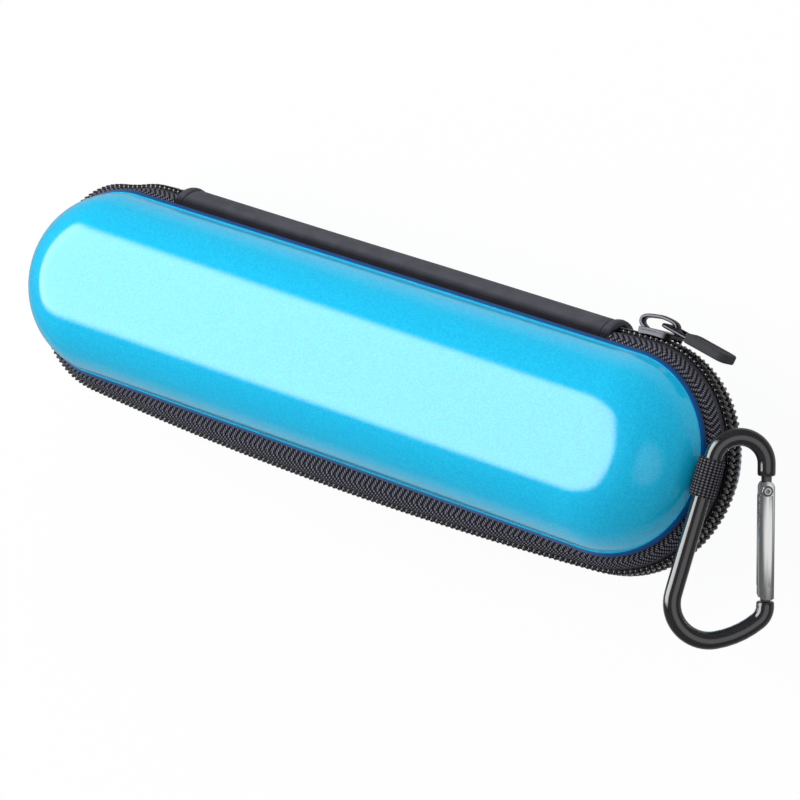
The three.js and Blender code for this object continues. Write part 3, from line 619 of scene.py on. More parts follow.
@dataclass(frozen=True)
class FlakeLacquer(Finish):
    """Pearl base coat under clear lacquer on a moulded shell. The coated mica gives fine sparkle in
    a deep clear blue, and the lacquer a sharp reflection over it. The bead along the edge is painted
    darker, navy at its foot to mid blue at its top: painted shade and painted reflection of the tape."""

    deep: str = "10B8EE"
    bright: str = "1CD0FA"
    # shade and band paint the bead from navy at its foot to mid blue at its top: painted shade and painted
    # reflection of the dark tape.
    shade: str = "052A58"  # at the foot of the bead
    band: str = "0E5CA2"  # at its top
    flake: float = 0.33  # real flakes are about 0.05 mm, drawn coarser so that they show
    seam: float = 28.5
    rim: float = 8.3  # zip line to the edge of the shell
    bead: float = 1.72  # height of the bead along that edge
    tilt: Pair = (0.006, 0.35)  # of the flakes: depth and strength

    def pattern(self, tree: Tree, shader: Node) -> None:
        """Flakes that differ in brightness and tilt, and the bead painted darker as shade.

        Args:
            tree: Node tree of the material.
            shader: Its shader.
        """
        sockets = {"Vector": self.place(tree), "Scale": 1 / (self.flake * MM)}
        cells = add(tree, "TexVoronoi", sockets)
        chance = add(tree, "SeparateColor", {0: cells.outputs["Color"]})
        flakes = add(tree, "Mix", {0: chance, 6: self.deep, 7: self.bright}, data_type="RGBA")
        # Painted shade: below the bead's top the flakes give way to the shade and band colours.
        height = add(tree, "SeparateXYZ", {0: self.place(tree)}).outputs[2]
        away = away_from(tree, height, self.seam * MM)
        top = (self.rim + self.bead) * MM
        up = add(tree, "MapRange", {0: away, 1: self.rim * MM, 2: top})
        edge = add(tree, "Mix", {0: up, 6: self.shade, 7: self.band}, data_type="RGBA")
        above = add(tree, "Math", {0: away, 1: top}, operation="GREATER_THAN")
        self.tint(tree, shader, above, edge.outputs[2], flakes.outputs[2])
        self.raise_by(tree, shader, chance.outputs[1], *self.tilt)


@dataclass(frozen=True)
class BrushedKnit(Finish):
    """Knit brushed to a short nap over foam: dull, with soft cloudy patches where the nap lies."""

    low: str = "1B1B1F"
    high: str = "34343A"
    clouds: Pair = (7, 3)  # size and detail
    tufts: Pair = (0.5, 2)
    nap: float = 0.12  # its depth

    def pattern(self, tree: Tree, shader: Node) -> None:
        """Nap in fine tufts and wider clouds.

        Args:
            tree: Node tree of the material.
            shader: Its shader.
        """
        self.tint(tree, shader, self.grain(tree, *self.clouds), self.low, self.high)
        self.raise_by(tree, shader, self.grain(tree, *self.tufts), self.nap)


@dataclass(frozen=True)
class HerringboneTape(Finish):
    """Polyester zip tape: herringbone ribs next to the shell, then a plain band with fine lines
    along it beside the chain. The crests of the threads are painted light grey as painted highlights, so that
    it looks dotted."""

    rib: float = 1.85
    thread: float = 0.92
    line: float = 0.55  # fine lines on the plain band
    turn: float = 2.4  # rim to the line where the ribs turn
    edge: float = 4.9  # rim to the plain band
    fade: float = 0.1  # half the width over which one goes over to the other
    faint: float = 0.4  # brightness of the painted highlight lines on the plain band beside the ribs
    low: str = "0B0B0F"
    # Colour on the crests of the threads and lines: painted highlight.
    high: str = "8E8E9E"
    depth: float = 0.16

    def pattern(self, tree: Tree, shader: Node) -> None:
        """Herringbone, and warp lines on the plain band.

        Args:
            tree: Node tree of the material.
            shader: Its shader.
        """
        along, across = self.weave(tree)
        fold = away_from(tree, across, self.turn * MM)
        slant = add(tree, "Math", {0: along, 1: fold}, operation="ADD")
        other = add(tree, "Math", {0: along, 1: fold}, operation="SUBTRACT")
        sockets = {0: stripes(tree, slant, self.rib), 1: stripes(tree, other, self.thread)}
        twill = add(tree, "Math", sockets, operation="MULTIPLY")
        sockets = {0: stripes(tree, across, self.line), 1: self.faint}
        faint = add(tree, "Math", sockets, operation="MULTIPLY")
        sockets = {0: across, 1: (self.edge - self.fade) * MM, 2: (self.edge + self.fade) * MM}
        plain = add(tree, "MapRange", sockets)
        both = add(tree, "Mix", {0: plain, 2: twill, 3: faint})
        self.tint(tree, shader, both, self.low, self.high)
        self.raise_by(tree, shader, both, self.depth)


@dataclass(frozen=True)
class GridWeave(Finish):
    """Narrow woven band: ribs one way and threads the other, as a fine grid of dots.

    Attributes:
        rib: Rib to rib along the band, in millimetres.
        thread: Thread to thread across it, in millimetres.
        low: Colour between the threads.
        high: Colour on the threads.
        depth: Depth between the threads, in millimetres.
    """

    rib: float = 1.0
    thread: float = 0.75
    low: str = "121215"
    high: str = "80808A"
    depth: float = 0.14

    def pattern(self, tree: Tree, shader: Node) -> None:
        """Grid of thread crossings.

        Args:
            tree: Node tree of the material.
            shader: Its shader.
        """
        along, across = self.weave(tree)
        sockets = {0: stripes(tree, along, self.rib), 1: stripes(tree, across, self.thread)}
        grid = add(tree, "Math", sockets, operation="MULTIPLY")
        self.tint(tree, shader, grid, self.low, self.high)
        self.raise_by(tree, shader, grid, self.depth)


@dataclass(frozen=True)
class CoatedCloth(Finish):
    """Cloth with a soft polymer coat: satin, with a fine pebbled grain. The outer roll is painted
    lighter as a painted highlight, and the groove beside the shell keeps the first dark tone as painted
    shade."""

    pebble: float = 0.45  # the real grain is finer, drawn coarser so that it shows
    ridge: float = 13.5  # edge of the cloth to the middle of its outer face
    roll: float = 7.4  # half the width that is painted lighter, as a painted highlight
    groove: float = 9.3  # middle to where the painted shade is full
    clouds: Pair = (5, 3)  # size and detail
    # Tones in the groove, painted darker as shade, then tones on the outer roll, painted lighter as a
    # highlight.
    deep: tuple[str, str] = ("1A1A1F", "28282E")
    worn: tuple[str, str] = ("43434A", "5B5B63")
    depth: float = 0.05

    def pattern(self, tree: Tree, shader: Node) -> None:
        """Pebbled grain, faint clouds, and the outer roll painted lighter than the groove, as painted light
        and shade.

        Args:
            tree: Node tree of the material.
            shader: Its shader.
        """
        sockets = {"Vector": self.place(tree), "Scale": 1 / (self.pebble * MM)}
        pebbles = add(tree, "TexVoronoi", sockets, feature="SMOOTH_F1")
        clouds = self.grain(tree, *self.clouds)
        tones = []
        for low, high in (self.deep, self.worn):
            tone = add(tree, "Mix", {0: clouds, 6: low, 7: high}, data_type="RGBA")
            tones.append(tone.outputs[2])
        away = away_from(tree, self.weave(tree)[1], self.ridge * MM)
        # Share of the painted highlight: 0 in the shaded groove, 1 on the lit outer roll.
        painted_light_share = add(tree, "MapRange", {0: away, 1: self.groove * MM, 2: self.roll * MM})
        self.tint(tree, shader, painted_light_share, *tones)
        self.raise_by(tree, shader, pebbles, self.depth)


@dataclass(frozen=True)
class GrainedMetal(Finish):
    """Metal with fine lines from rolling or drawing, which stretch its reflections."""

    line: float = 0.25  # the real lines are much finer, drawn coarser so that they show
    depth: float = 0.004
    strength: float = 0.5
    spread: Pair = (0.75, 1.3)  # least and most of the roughness
    stretch: Triple = (0.04, 0.04, 1.0)

    def pattern(self, tree: Tree, shader: Node) -> None:
        """Fine lines, and a little wear in the roughness.

        Args:
            tree: Node tree of the material.
            shader: Its shader.
        """
        mapping = add(tree, "Mapping", {"Vector": self.place(tree), "Scale": self.stretch})
        sockets = {"Vector": mapping, "Scale": 1 / (self.line * MM), "Detail": 3.0}
        lines = add(tree, "TexNoise", sockets).outputs["Fac"]
        self.wear(tree, shader, lines, *self.spread)
        self.raise_by(tree, shader, lines, self.depth, self.strength)


@dataclass(frozen=True)
class KnittedNet(Finish):
    """Open knitted net: round holes in rows that are set over by half. The holes are not cut but
    painted near-black: the dark lining behind them, in painted shade."""

    pitch: float = 2.1
    slope: float = 0.58  # lean of the rows, which lays the holes like a honeycomb
    border: Pair = (0.3, 0.42)  # of a hole, as heights of the crossed waves
    yarn: str = "3A3A41"
    # Colour of the holes: the lining seen through them, in painted shade.
    gap: str = "08080A"
    depth: float = 0.35

    def pattern(self, tree: Tree, shader: Node) -> None:
        """Rows of holes between raised threads.

        Args:
            tree: Node tree of the material.
            shader: Its shader.
        """
        along, across = self.weave(tree)
        waves = {}
        for place, slope in enumerate((self.slope, -self.slope)):
            lean = add(tree, "Math", {0: across, 1: slope, 2: along}, operation="MULTIPLY_ADD")
            waves[place] = stripes(tree, lean, self.pitch)
        holes = add(tree, "Math", waves, operation="MULTIPLY")
        edge = add(tree, "MapRange", {0: holes, 1: self.border[0], 2: self.border[1]})
        self.tint(tree, shader, edge, self.yarn, self.gap)
        inward = add(tree, "Math", {0: 1.0, 1: edge}, operation="SUBTRACT")
        self.raise_by(tree, shader, inward, self.depth)


class Finishes:
    """The finishes of the case. Each one's comment says what the real one gives the eye."""

    # Deep clear blue that turns pale where it mirrors a lamp.
    LACQUER = FlakeLacquer("blue pearl lacquer on moulded shell", "18C4F4", 0.3, coat=1.0,
                           coat_roughness=0.015, gloss=0.1)
    # Dull near-black nap without any highlight.
    LINING = BrushedKnit("brushed polyester knit", "26262B", 0.95, sheen=0.2, gloss=0.1)
    # Dark tape, dotted with highlights painted on the threads of its ribs.
    TAPE = HerringboneTape("woven polyester zip tape", "2E2E36", 0.72, gloss=0.03)
    # Black glassy filament with a small bright spot on each turn.
    NYLON = Finish("extruded nylon monofilament", "121215", 0.2, coat=1.0, coat_roughness=0.1, gloss=1.0)
    # Even dark grey roll, painted darker as shade where it goes under the shell and lighter as a highlight on
    # its outer roll.
    SHEATH = CoatedCloth("soft-coated cloth", "2E2E33", 0.45, gloss=0.01)
    # Dark mirror, with bright bevels against black faces.
    NICKEL = Finish("black nickel plate on zinc casting", "3C3C40", 0.14, 1.0)
    # Soft dark grey, hardly brighter where light falls on it.
    RUBBER = Finish("moulded matte rubber", "434346", 0.5, gloss=0.04)
    # Black band with a grid of small grey dots.
    WEBBING = GridWeave("ribbed polyester webbing", "1B1B1E", 0.75, gloss=0.03)
    # The same in a finer rib, sewn round the inner edges.
    BINDING = GridWeave("grosgrain binding", "1B1B1E", 0.8, rib=0.8, thread=1.4, gloss=0.12)
    # Gloss black with sharp light stripes along the bar.
    ANODISED = Finish("black anodised aluminium bar", "262629", 0.12, coat=1.0, coat_roughness=0.03)
    # Bright sheet that shades from white to grey across its bow.
    GATE = GrainedMetal("polished aluminium sheet", "E4E5E7", 0.16, 1.0)
    # Bright grey dome with rings of light.
    RIVET = GrainedMetal("turned steel", "C6C7CA", 0.2, 1.0)
    # Mid-grey wire with a soft highlight.
    SPRING = GrainedMetal("drawn spring steel", "8E9094", 0.26, 1.0)
    # Dark grey threads round holes painted black, as the lining behind them in painted shade.
    NET = KnittedNet("knitted polyester net", "2C2C31", 0.85, gloss=0.12)
    # Black ribbed band, flat and dull.
    ELASTIC = GridWeave("woven elastic", "18181B", 0.8, rib=0.9, thread=1.1, low="0C0C0E", high="303034",
                        gloss=0.12)
    # Fine black thread with a faint shine.
    THREAD = Finish("bonded nylon thread", "1E1E23", 0.5, gloss=0.2)


# Shared form of the case


@dataclass(frozen=True)
class CaseForm:
    """Sizes in millimetres that several pieces share. Heights are distances from the zip line."""

    end_x: float = 90.4  # middle of the case to the centre of each round end
    rim_radius: float = 27.2
    rim_height: float = 8.3
    rise: float = 20.2
    crown_inset: float = 18.1
    roundness: float = 1.9
    wall: float = 2.0
    seam: float = 28.5
    flange_top: float = 8.0
    flange_bottom: float = 7.2
    reach: float = 5.8  # how far the zip stands out from the rim
    front_bow: float = 3.0
    back_arc: float = 93.0
    strip_end: float = 78.0

    @property
    def coil_radius(self) -> float:
        """Radius of the chain's outer face round the ends."""
        return self.rim_radius + self.reach

    def level(self, half: Half, height: float) -> float:
        """Z of a height from the zip line on one half."""
        return self.seam + half.value * height

    def crown(self, outset: float, rise: float, steps: int) -> list[Pair]:
        """Section of one face of a half shell.

        Args:
            outset: How far the face lies in from the outside.
            rise: Its height over the rim.
            steps: Pieces of the section.

        Returns:
            (inset, height) points from the rim to the flat of the crown.
        """
        power, face = 2 / self.roundness, []
        for k in range(steps + 1):
            cos, sin = polar(1, 90 * k / steps)
            inset = self.crown_inset * (1 - max(0.0, cos) ** power)
            face.append((outset + inset, self.rim_height + rise * max(0.0, sin) ** power))
        return face

    def spun(self, name: str, profile: Iterable[Pair], half: Half, closed: bool = False,
             steps: int = 26) -> Piece:
        """Turns a profile round a quarter of one end, draws it out along the side and mirrors it.

        Args:
            name: Name of the piece.
            profile: (inset, height) points.
            half: Half of the case.
            closed: Whether the profile is a closed section.
            steps: Faces round a quarter.

        Returns:
            The closed piece.
        """
        points = [(self.end_x, inset - self.rim_radius, self.level(half, height))
                  for inset, height in profile]
        piece = drawn_line(name, points, closed)
        end = self.end_x * MM
        bpy.ops.mesh.spin(steps=steps, angle=math.pi / 2, center=(end, 0, 0), axis=(0, 0, -1))
        pick(piece, "edges", lambda e: all(abs(v.co.x - end) < 1e-7 and v.co.y < 1e-7 for v in e.verts))
        draw_out((-end, 0, 0))
        bpy.ops.object.mode_set(mode="OBJECT")
        modify(piece, "MIRROR", use_axis=(True, True, False), use_mirror_merge=True, merge_threshold=1e-6)
        cleaned(piece, 0.001)
        return piece


@dataclass
class ZipPath:
    """Course of the zip from the hinge strip at the right round the case to the hinge strip at the
    left, with the rim point and the chain's outer point at each place."""

    form: CaseForm
    tuck: float = 2.2  # how far the zip is drawn in behind the left-hand end
    tuck_x: float = -98.0
    tuck_width: float = 9.0
    rims: np.ndarray = field(init=False)
    coils: np.ndarray = field(init=False)
    runs: np.ndarray = field(init=False)

    def __post_init__(self) -> None:
        """Works out the stations."""
        form, centre = self.form, (self.form.end_x, 0)
        front = form.coil_radius + form.front_bow
        radius = (form.end_x ** 2 + front ** 2 - form.coil_radius ** 2) / (2 * form.front_bow)
        front_angle = math.degrees(math.atan2(radius - front, form.end_x))
        bend_rim, bend_coil = [np.array(polar(r, form.back_arc)) + centre
                               for r in (form.rim_radius, form.coil_radius)]
        slope = math.tan(math.radians(form.back_arc - 90))
        first_coil = np.array([form.strip_end, bend_coil[1] - (bend_coil[0] - form.strip_end) * slope])
        first_rim = np.array([form.strip_end, form.rim_radius])
        rims, coils = [], []
        for t in np.linspace(0, 1, 12, endpoint=False):
            rims.append(first_rim + (bend_rim - first_rim) * t)
            coils.append(first_coil + (bend_coil - first_coil) * t)
        for angle in np.linspace(form.back_arc, -front_angle, 180):
            rims.append(np.array(polar(form.rim_radius, angle)) + centre)
            coils.append(np.array(polar(form.coil_radius, angle)) + centre)
        last_rim, last_coil = rims[-1], coils[-1]
        for sweep in np.linspace(math.asin(last_coil[0] / radius), 0, 48)[1:]:
            x = radius * math.sin(sweep)
            rim_x = x * last_rim[0] / last_coil[0]
            beyond = max(0.0, rim_x - form.end_x)
            rims.append(np.array([rim_x, -math.sqrt(form.rim_radius ** 2 - beyond ** 2)]))
            coils.append(np.array([x, radius - front - radius * math.cos(sweep)]))
        self.rims, coils = [np.array(line + [p * (-1, 1) for p in line[-2::-1]]) for line in (rims, coils)]
        out = coils - self.rims
        reach = np.linalg.norm(out, axis=1, keepdims=True)
        tucked = np.exp(-((coils[:, 0] - self.tuck_x) / self.tuck_width) ** 2) * (coils[:, 1] > 0)
        self.coils = self.rims + out / reach * (reach - self.tuck * tucked[:, None])
        self.runs = np.array(lengths(self.coils))

    @property
    def length(self) -> float:
        """Length of the zip in millimetres."""
        return float(self.runs[-1])

    def station(self, run: float) -> tuple[np.ndarray, np.ndarray, float]:
        """Looks up a place on the zip.

        Args:
            run: Distance along the zip.

        Returns:
            Rim point, direction outwards and reach.
        """
        rim, coil = [np.array([np.interp(run, self.runs, line[:, i]) for i in (0, 1)])
                     for line in (self.rims, self.coils)]
        reach = float(np.linalg.norm(coil - rim))
        return rim, (coil - rim) / reach, reach

    def at(self, run: float, back: float, height: float, half: Half) -> Triple:
        """Point beside the chain.

        Args:
            run: Distance along the zip.
            back: Distance in from the chain's outer face.
            height: Height from the zip line.
            half: Half of the case.

        Returns:
            The point in millimetres.
        """
        rim, out, reach = self.station(run)
        x, y = rim + out * (reach - back)
        return float(x), float(y), self.form.level(half, height)


def dress(piece: Piece, angle: float, finish: Finish, nodes: Iterable[str] = (),
          body: str = "", bend: tuple[Point, Point] | None = None) -> None:
    """Shades a finished piece and gives it its material; puts it on its body, or bakes its place
    into its mesh when a bend is given; and hides the CAD nodes that it stands for.

    Args:
        piece: The object.
        angle: It is shaded smooth, except across edges sharper than this many degrees.
        finish: Its finish.
        nodes: CAD nodes that it replaces.
        body: Body that it rides on.
        bend: Start and end in millimetres of the bend from the base to the lid, for cloth. Its values
            are not used: when it is given, the piece's place is baked into its mesh and it goes on no body.
    """
    take(piece)
    bpy.ops.object.shade_smooth_by_angle(angle=math.radians(angle))
    bare_selection()
    piece.data.materials.clear()
    piece.data.materials.append(finish.material())
    if bend:
        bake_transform(piece)
    else:
        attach(piece, body)
    if nodes:
        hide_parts(*nodes)
    LOG.info("%s: %d faces, %s", piece.name, len(piece.data.polygons), finish.title)


# Sub-assemblies


@dataclass
class ShellHalf:
    """One moulded half shell with its lining and the bound edge inside it."""

    form: CaseForm
    half: Half
    lip: float = 1.2  # how far the sloping bead along the shell's edge stands out
    lip_height: float = 1.8
    bead_round: float = 0.35
    ledge: float = 0.2  # flat on top of the bead
    crown_gap: float = 0.45  # top of the bead to the first point of the crown's curve
    lining_outset: float = 2.3
    lining_inset: float = 3.8
    lining_round: Pair = (0.4, 0.25)  # width and height of the easing of its edge
    binding_low: float = 5.3
    binding_top: float = 6.9
    binding_edge: float = 0.3
    stitch_pitch: float = 2.6
    stitch_gap: float = 0.6
    stitch_inset: float = 2.9
    stitch_lift: Pair = (0.3, -0.05)  # its ends and its middle, out of the cloth's face
    thread: float = 0.17  # radius
    mapped_radius: float = 0.025  # metres; carries the map of the ribs round the ends

    def moulding(self) -> None:
        """Models the hard shell, with a small bead along its edge."""
        form, centre = self.form, self.form.rim_radius
        outer = form.crown(0, form.rise, 30)
        inner = form.crown(form.wall, form.rise - form.wall, 16)
        start, top = form.rim_height, form.rim_height + self.lip_height
        bead = [(0.2, start), (0.1 - self.lip, start + 0.02)]
        for angle in range(-60, 46, 15):
            cos, sin = polar(self.bead_round, angle)
            bead.append((self.bead_round - self.lip - cos, start + self.bead_round + sin))
        # The ledge, and the step from it into the crown's curve.
        bead += [(-self.ledge - 0.06, top - 0.1), (-self.ledge + 0.02, top - 0.02), (-0.03, top),
                 (0.03, top + 0.08), (0.05, top + 0.25)]
        kept = [(inset, height) for inset, height in outer if height > top + self.crown_gap]
        profile = [(centre, inner[-1][1]), *inner[::-1], (form.wall, start), *bead, *kept,
                   (centre, outer[-1][1])]
        piece = form.spun(f"{self.half.word}_shell_moulding", profile, self.half)
        dress(piece, 50, Finishes.LACQUER, [f"{self.half.word}_shell"], self.half.body)

    def lining(self) -> None:
        """Models the soft lining that is stuck into the shell."""
        form, centre, foot = self.form, self.form.rim_radius, self.form.flange_bottom
        outer, inner = [form.crown(inset, form.rise - inset, steps)
                        for inset, steps in ((self.lining_outset, 14), (self.lining_inset, 22))]
        ease, low = self.lining_round[0], foot - self.lining_round[1]
        edge = [(self.lining_outset, foot), (self.lining_outset + ease, low), (self.lining_inset - ease, low),
                (self.lining_inset, foot)]
        profile = [(centre, outer[-1][1]), *outer[::-1], *edge, *inner, (centre, inner[-1][1])]
        piece = form.spun(f"{self.half.word}_brushed_lining", profile, self.half)
        dress(piece, 60, Finishes.LINING, [f"{self.half.word}_lining"], self.half.body)

    def binding(self) -> None:
        """Models the binding that is folded over the raw edges and sewn down."""
        word = self.half.word
        middle, level = (self.binding_edge + self.lining_inset) / 2, (self.binding_low + self.binding_top) / 2
        section = soft_box((self.lining_inset - self.binding_edge) / 2,
                           (self.binding_top - self.binding_low) / 2, 3, 16)
        profile = [(middle + a, level + b) for a, b in section[:-1]]
        piece = self.form.spun(f"{word}_edge_binding", profile, self.half, closed=True)
        self.lay_ribs(piece)
        dress(piece, 60, Finishes.BINDING, [f"{word}_rim_binding"], self.half.body)

    def lay_ribs(self, piece: Piece) -> None:
        """Gives the binding a map of distances along and across it, which its ribs follow.

        Args:
            piece: The binding.
        """
        mesh, end = piece.data, self.form.end_x * MM
        layer = mesh.uv_layers.active or mesh.uv_layers.new(name="along_and_across")
        for corner in mesh.loops:
            x, y, _ = mesh.vertices[corner.vertex_index].co
            middle = max(-end, min(end, x))
            angle = math.atan2(y, x - middle) if abs(x) > end else math.copysign(math.pi / 2, y)
            run = (angle if x >= 0 else math.pi - angle) * self.mapped_radius + abs(middle)
            layer.data[corner.index].uv = (run, math.hypot(x - middle, y))

    def seam_place(self, run: float, radius: float) -> Triple:
        """Place on the round-ended line of stitches.

        Args:
            run: Distance along it, from the left-hand end of the front.
            radius: Radius of its ends.

        Returns:
            X and Y in millimetres and the direction in degrees.
        """
        straight = 2 * self.form.end_x
        back, run = divmod(run, straight + math.pi * radius)
        sign = -1 if back else 1
        if run < straight:
            x, y, angle = run - straight / 2, -radius, 0.0
        else:
            angle = math.degrees((run - straight) / radius)
            x, y = polar(radius, angle - 90)
            x += straight / 2
        return sign * x, sign * y, angle + 180 * back

    def stitches(self) -> None:
        """Models the row of stitches that holds the binding."""
        pitch, gap, (high, low) = self.stitch_pitch, self.stitch_gap, self.stitch_lift
        level = self.form.level(self.half, self.binding_low + low)
        radius = self.form.rim_radius - self.stitch_inset
        line = [(0, 0, high), (gap / 2, 0, low), (pitch - 1.5 * gap, 0, low), (pitch - gap, 0, high)]
        first = wire("one_stitch", line, self.thread, 1)
        copies = []
        total = 4 * self.form.end_x + math.tau * radius
        count = int(total / pitch)
        for k in range(count):
            x, y, angle = self.seam_place(k * total / count, radius)
            copy = first.copy()
            copy.data = first.data.copy()
            bpy.context.collection.objects.link(copy)
            mirror = Matrix.Scale(self.half.value, 4, (0, 0, 1))
            copy.data.transform(placed((x, y, level), angle) @ mirror)
            copies.append(copy)
        bpy.data.objects.remove(first)
        piece = joined(f"{self.half.word}_binding_stitches", copies)
        dress(piece, 80, Finishes.THREAD, body=self.half.body)

    def build(self) -> None:
        """Builds the half's own pieces."""
        self.moulding()
        self.lining()
        self.binding()
        self.stitches()


@dataclass
class ZipHalf:
    """Zip tape and coil chain of one half. The first stretch of the lower half, beside the parked
    slider, is built as pieces of its own that are put on no body."""

    form: CaseForm
    path: ZipPath
    half: Half
    tape_thickness: float = 0.8
    tape_inset: float = 1.6  # outer face of the chain to the outer face of the tape
    tape_foot: float = 3.3
    backing: float = 2.28  # outer face of the chain to the web that it is sewn on
    backing_thickness: float = 0.32
    ring_gap: float = 1.6  # ring to ring of the tape's mesh
    turn: float = 1.75
    filament: float = 0.56
    chain_width: float = 2.2
    cord_radius: float = 0.86
    cord_height: float = 1.75  # from the zip line
    thread: float = 0.16  # radius
    zigzag: Pair = (-0.12, 0.16)  # by turns, how far a stitch lies below and above its row
    rows: tuple[Pair, Pair] = ((1.02, 3.3), (1.5, 3.36))  # stitches: in from the outer face, height
    straight_corner: float = 17.0  # lower half: end of the first stretch beside the slider
    corner_end: float = 28.5  # lower half: end of the second stretch beside the slider
    bend_foot: Triple = (95.0, 27.4, -7.1)  # height is from the zip line
    lift: float = 0.125  # share of the bend per millimetre outwards and upwards
    give: float = 0.1  # share of it per millimetre along the case

    def tape_section(self, reach: float) -> list[Pair]:
        """Section of the tape: flange under the shell, falling curve, web behind the chain.

        Args:
            reach: How far the zip stands out here.

        Returns:
            Closed section of (out from the rim, height).
        """
        form, t = self.form, self.tape_thickness
        out, foot = reach - self.tape_inset, self.tape_foot
        outer, inner = [(-form.wall, form.flange_top), (-0.05, form.flange_top)], []
        for k in range(11):
            cos, sin = polar(1, 9 * k)
            outer.append((out * sin, foot + (form.flange_top - foot) * cos))
            inner.append(((out - t) * sin, foot + (form.flange_top - t - foot) * cos))
        web = reach - self.backing
        # The turned edge beside the chain, then the web down to the zip line.
        outer += [(out - 0.1, foot - 0.1), (out - 0.3, foot - 0.18), (web, foot - 0.25), (web, 0.2),
                  (web - self.backing_thickness, 0.2), (web - self.backing_thickness, foot)]
        flange = [(-0.05, form.flange_bottom), (-form.wall, form.flange_bottom)]
        return outer + inner[::-1] + flange + outer[:1]

    def tape(self, name: str, start: float, end: float) -> Piece:
        """Models a length of the tape.

        Args:
            name: Name of the piece.
            start: Where it starts along the zip.
            end: Where it ends.

        Returns:
            The new piece.
        """
        runs = np.linspace(start, end, max(4, int((end - start) / self.ring_gap)) + 1)
        rings, across = [], []
        for run in runs:
            rim, out, reach = self.path.station(run)
            section = self.tape_section(reach)
            across = [r - self.form.wall for r in lengths(section)]
            rings.append([(*(rim + out * o), self.form.level(self.half, h)) for o, h in section])
        return woven(name, rings, runs, across)

    def coil(self, name: str, start: float, end: float) -> Piece:
        """Winds the chain's filament: each turn leans over on the outside and is pressed to a head
        beside the zip line. The lower half's turns are set over by half a turn.

        Args:
            name: Name of the piece.
            start: Where it starts along the zip.
            end: Where it ends.

        Returns:
            The new piece.
        """
        f, w = self.filament, self.chain_width
        phase = 0.5 if self.half is Half.LOWER else 0.0
        shape = [  # share of a turn, in from the outer face, height
            (0.00, f, 2.62), (0.14, f * 0.98, 2.1), (0.28, f * 0.98, 1.45), (0.40, f, 0.95),
            (0.48, 0.75, 0.64), (0.55, 1.1, 0.58), (0.62, 1.5, 0.66), (0.68, w - f, 1.0),
            (0.78, w - f, 1.8), (0.86, w - f, 2.4), (0.92, 1.5, 2.72), (0.97, 0.85, 2.8),
        ]
        turns = range(math.ceil(start / self.turn - phase), math.floor(end / self.turn - phase))
        points = [self.path.at((k + phase + share) * self.turn, back, height, self.half)
                  for k in turns for share, back, height in shape]
        return wire(name, points, f, 2)

    def cord(self, name: str, start: float, end: float) -> Piece:
        """Models the filler cord inside the chain.

        Args:
            name: Name of the piece.
            start: Where it starts along the zip.
            end: Where it ends.

        Returns:
            The new piece.
        """
        points = [self.path.at(run, self.chain_width / 2, self.cord_height, self.half)
                  for run in np.linspace(start, end, max(3, int((end - start) / 2)))]
        return wire(name, points, self.cord_radius, 3)

    def seams(self, name: str, start: float, end: float) -> Piece:
        """Models the two rows of stitches that hold the chain on the tape.

        Args:
            name: Name of the piece.
            start: Where it starts along the zip.
            end: Where it ends.

        Returns:
            The new piece.
        """
        pieces = []
        for row, (back, height) in enumerate(self.rows):
            points = []
            for k in range(int(start / self.turn * 2), int(end / self.turn * 2)):
                run, level = (k + 0.5 * row) * self.turn / 2, height + self.zigzag[k % 2]
                points.append(self.path.at(run, back, level, self.half))
            pieces.append(wire("thread", points, self.thread, 1))
        return joined(name, pieces)

    def build(self) -> None:
        """Builds the half's tape and chain."""
        word, body, end = self.half.word, self.half.body, self.path.length
        start = self.corner_end if self.half is Half.LOWER else 0.0
        tape = self.tape(f"{word}_tape", start, end)
        dress(tape, 45, Finishes.TAPE, [f"{word}_zip_tape"], body)
        chain = self.coil(f"{word}_chain", start, end)
        dress(chain, 80, Finishes.NYLON, [f"{word}_zip_coil"], body)
        dress(self.cord(f"{word}_chain_cord", start, end), 80, Finishes.THREAD, body=body)
        dress(self.seams(f"{word}_chain_stitches", start, end), 80, Finishes.THREAD, body=body)
        if self.half is Half.LOWER:
            self.build_corner()

    def build_corner(self) -> None:
        """Builds the stretch beside the slider, as pieces that are put on no body."""
        x, y, height = self.bend_foot
        mid, end = self.straight_corner, self.corner_end
        low = Vector((x, y, self.form.seam + height))
        for name, start, stop, give in (("lower_tape_by_slider", 0.0, mid, 0.0),
                                        ("lower_tape_corner", mid, end, -self.give)):
            way = Vector((give, self.lift, self.lift))
            bend = (low, low + way / way.length_squared)
            dress(self.tape(name, start, stop), 45, Finishes.TAPE, bend=bend)
        bend = ((x + 10, 0, 0), (x, 0, 0))
        chain = self.coil("lower_chain_by_slider", 0.0, end + 1.0)
        dress(chain, 80, Finishes.NYLON, ["lower_coil_lead"], bend=bend)
        cord = self.cord("lower_chain_cord_by_slider", 0.0, end)
        dress(cord, 80, Finishes.THREAD, bend=bend)


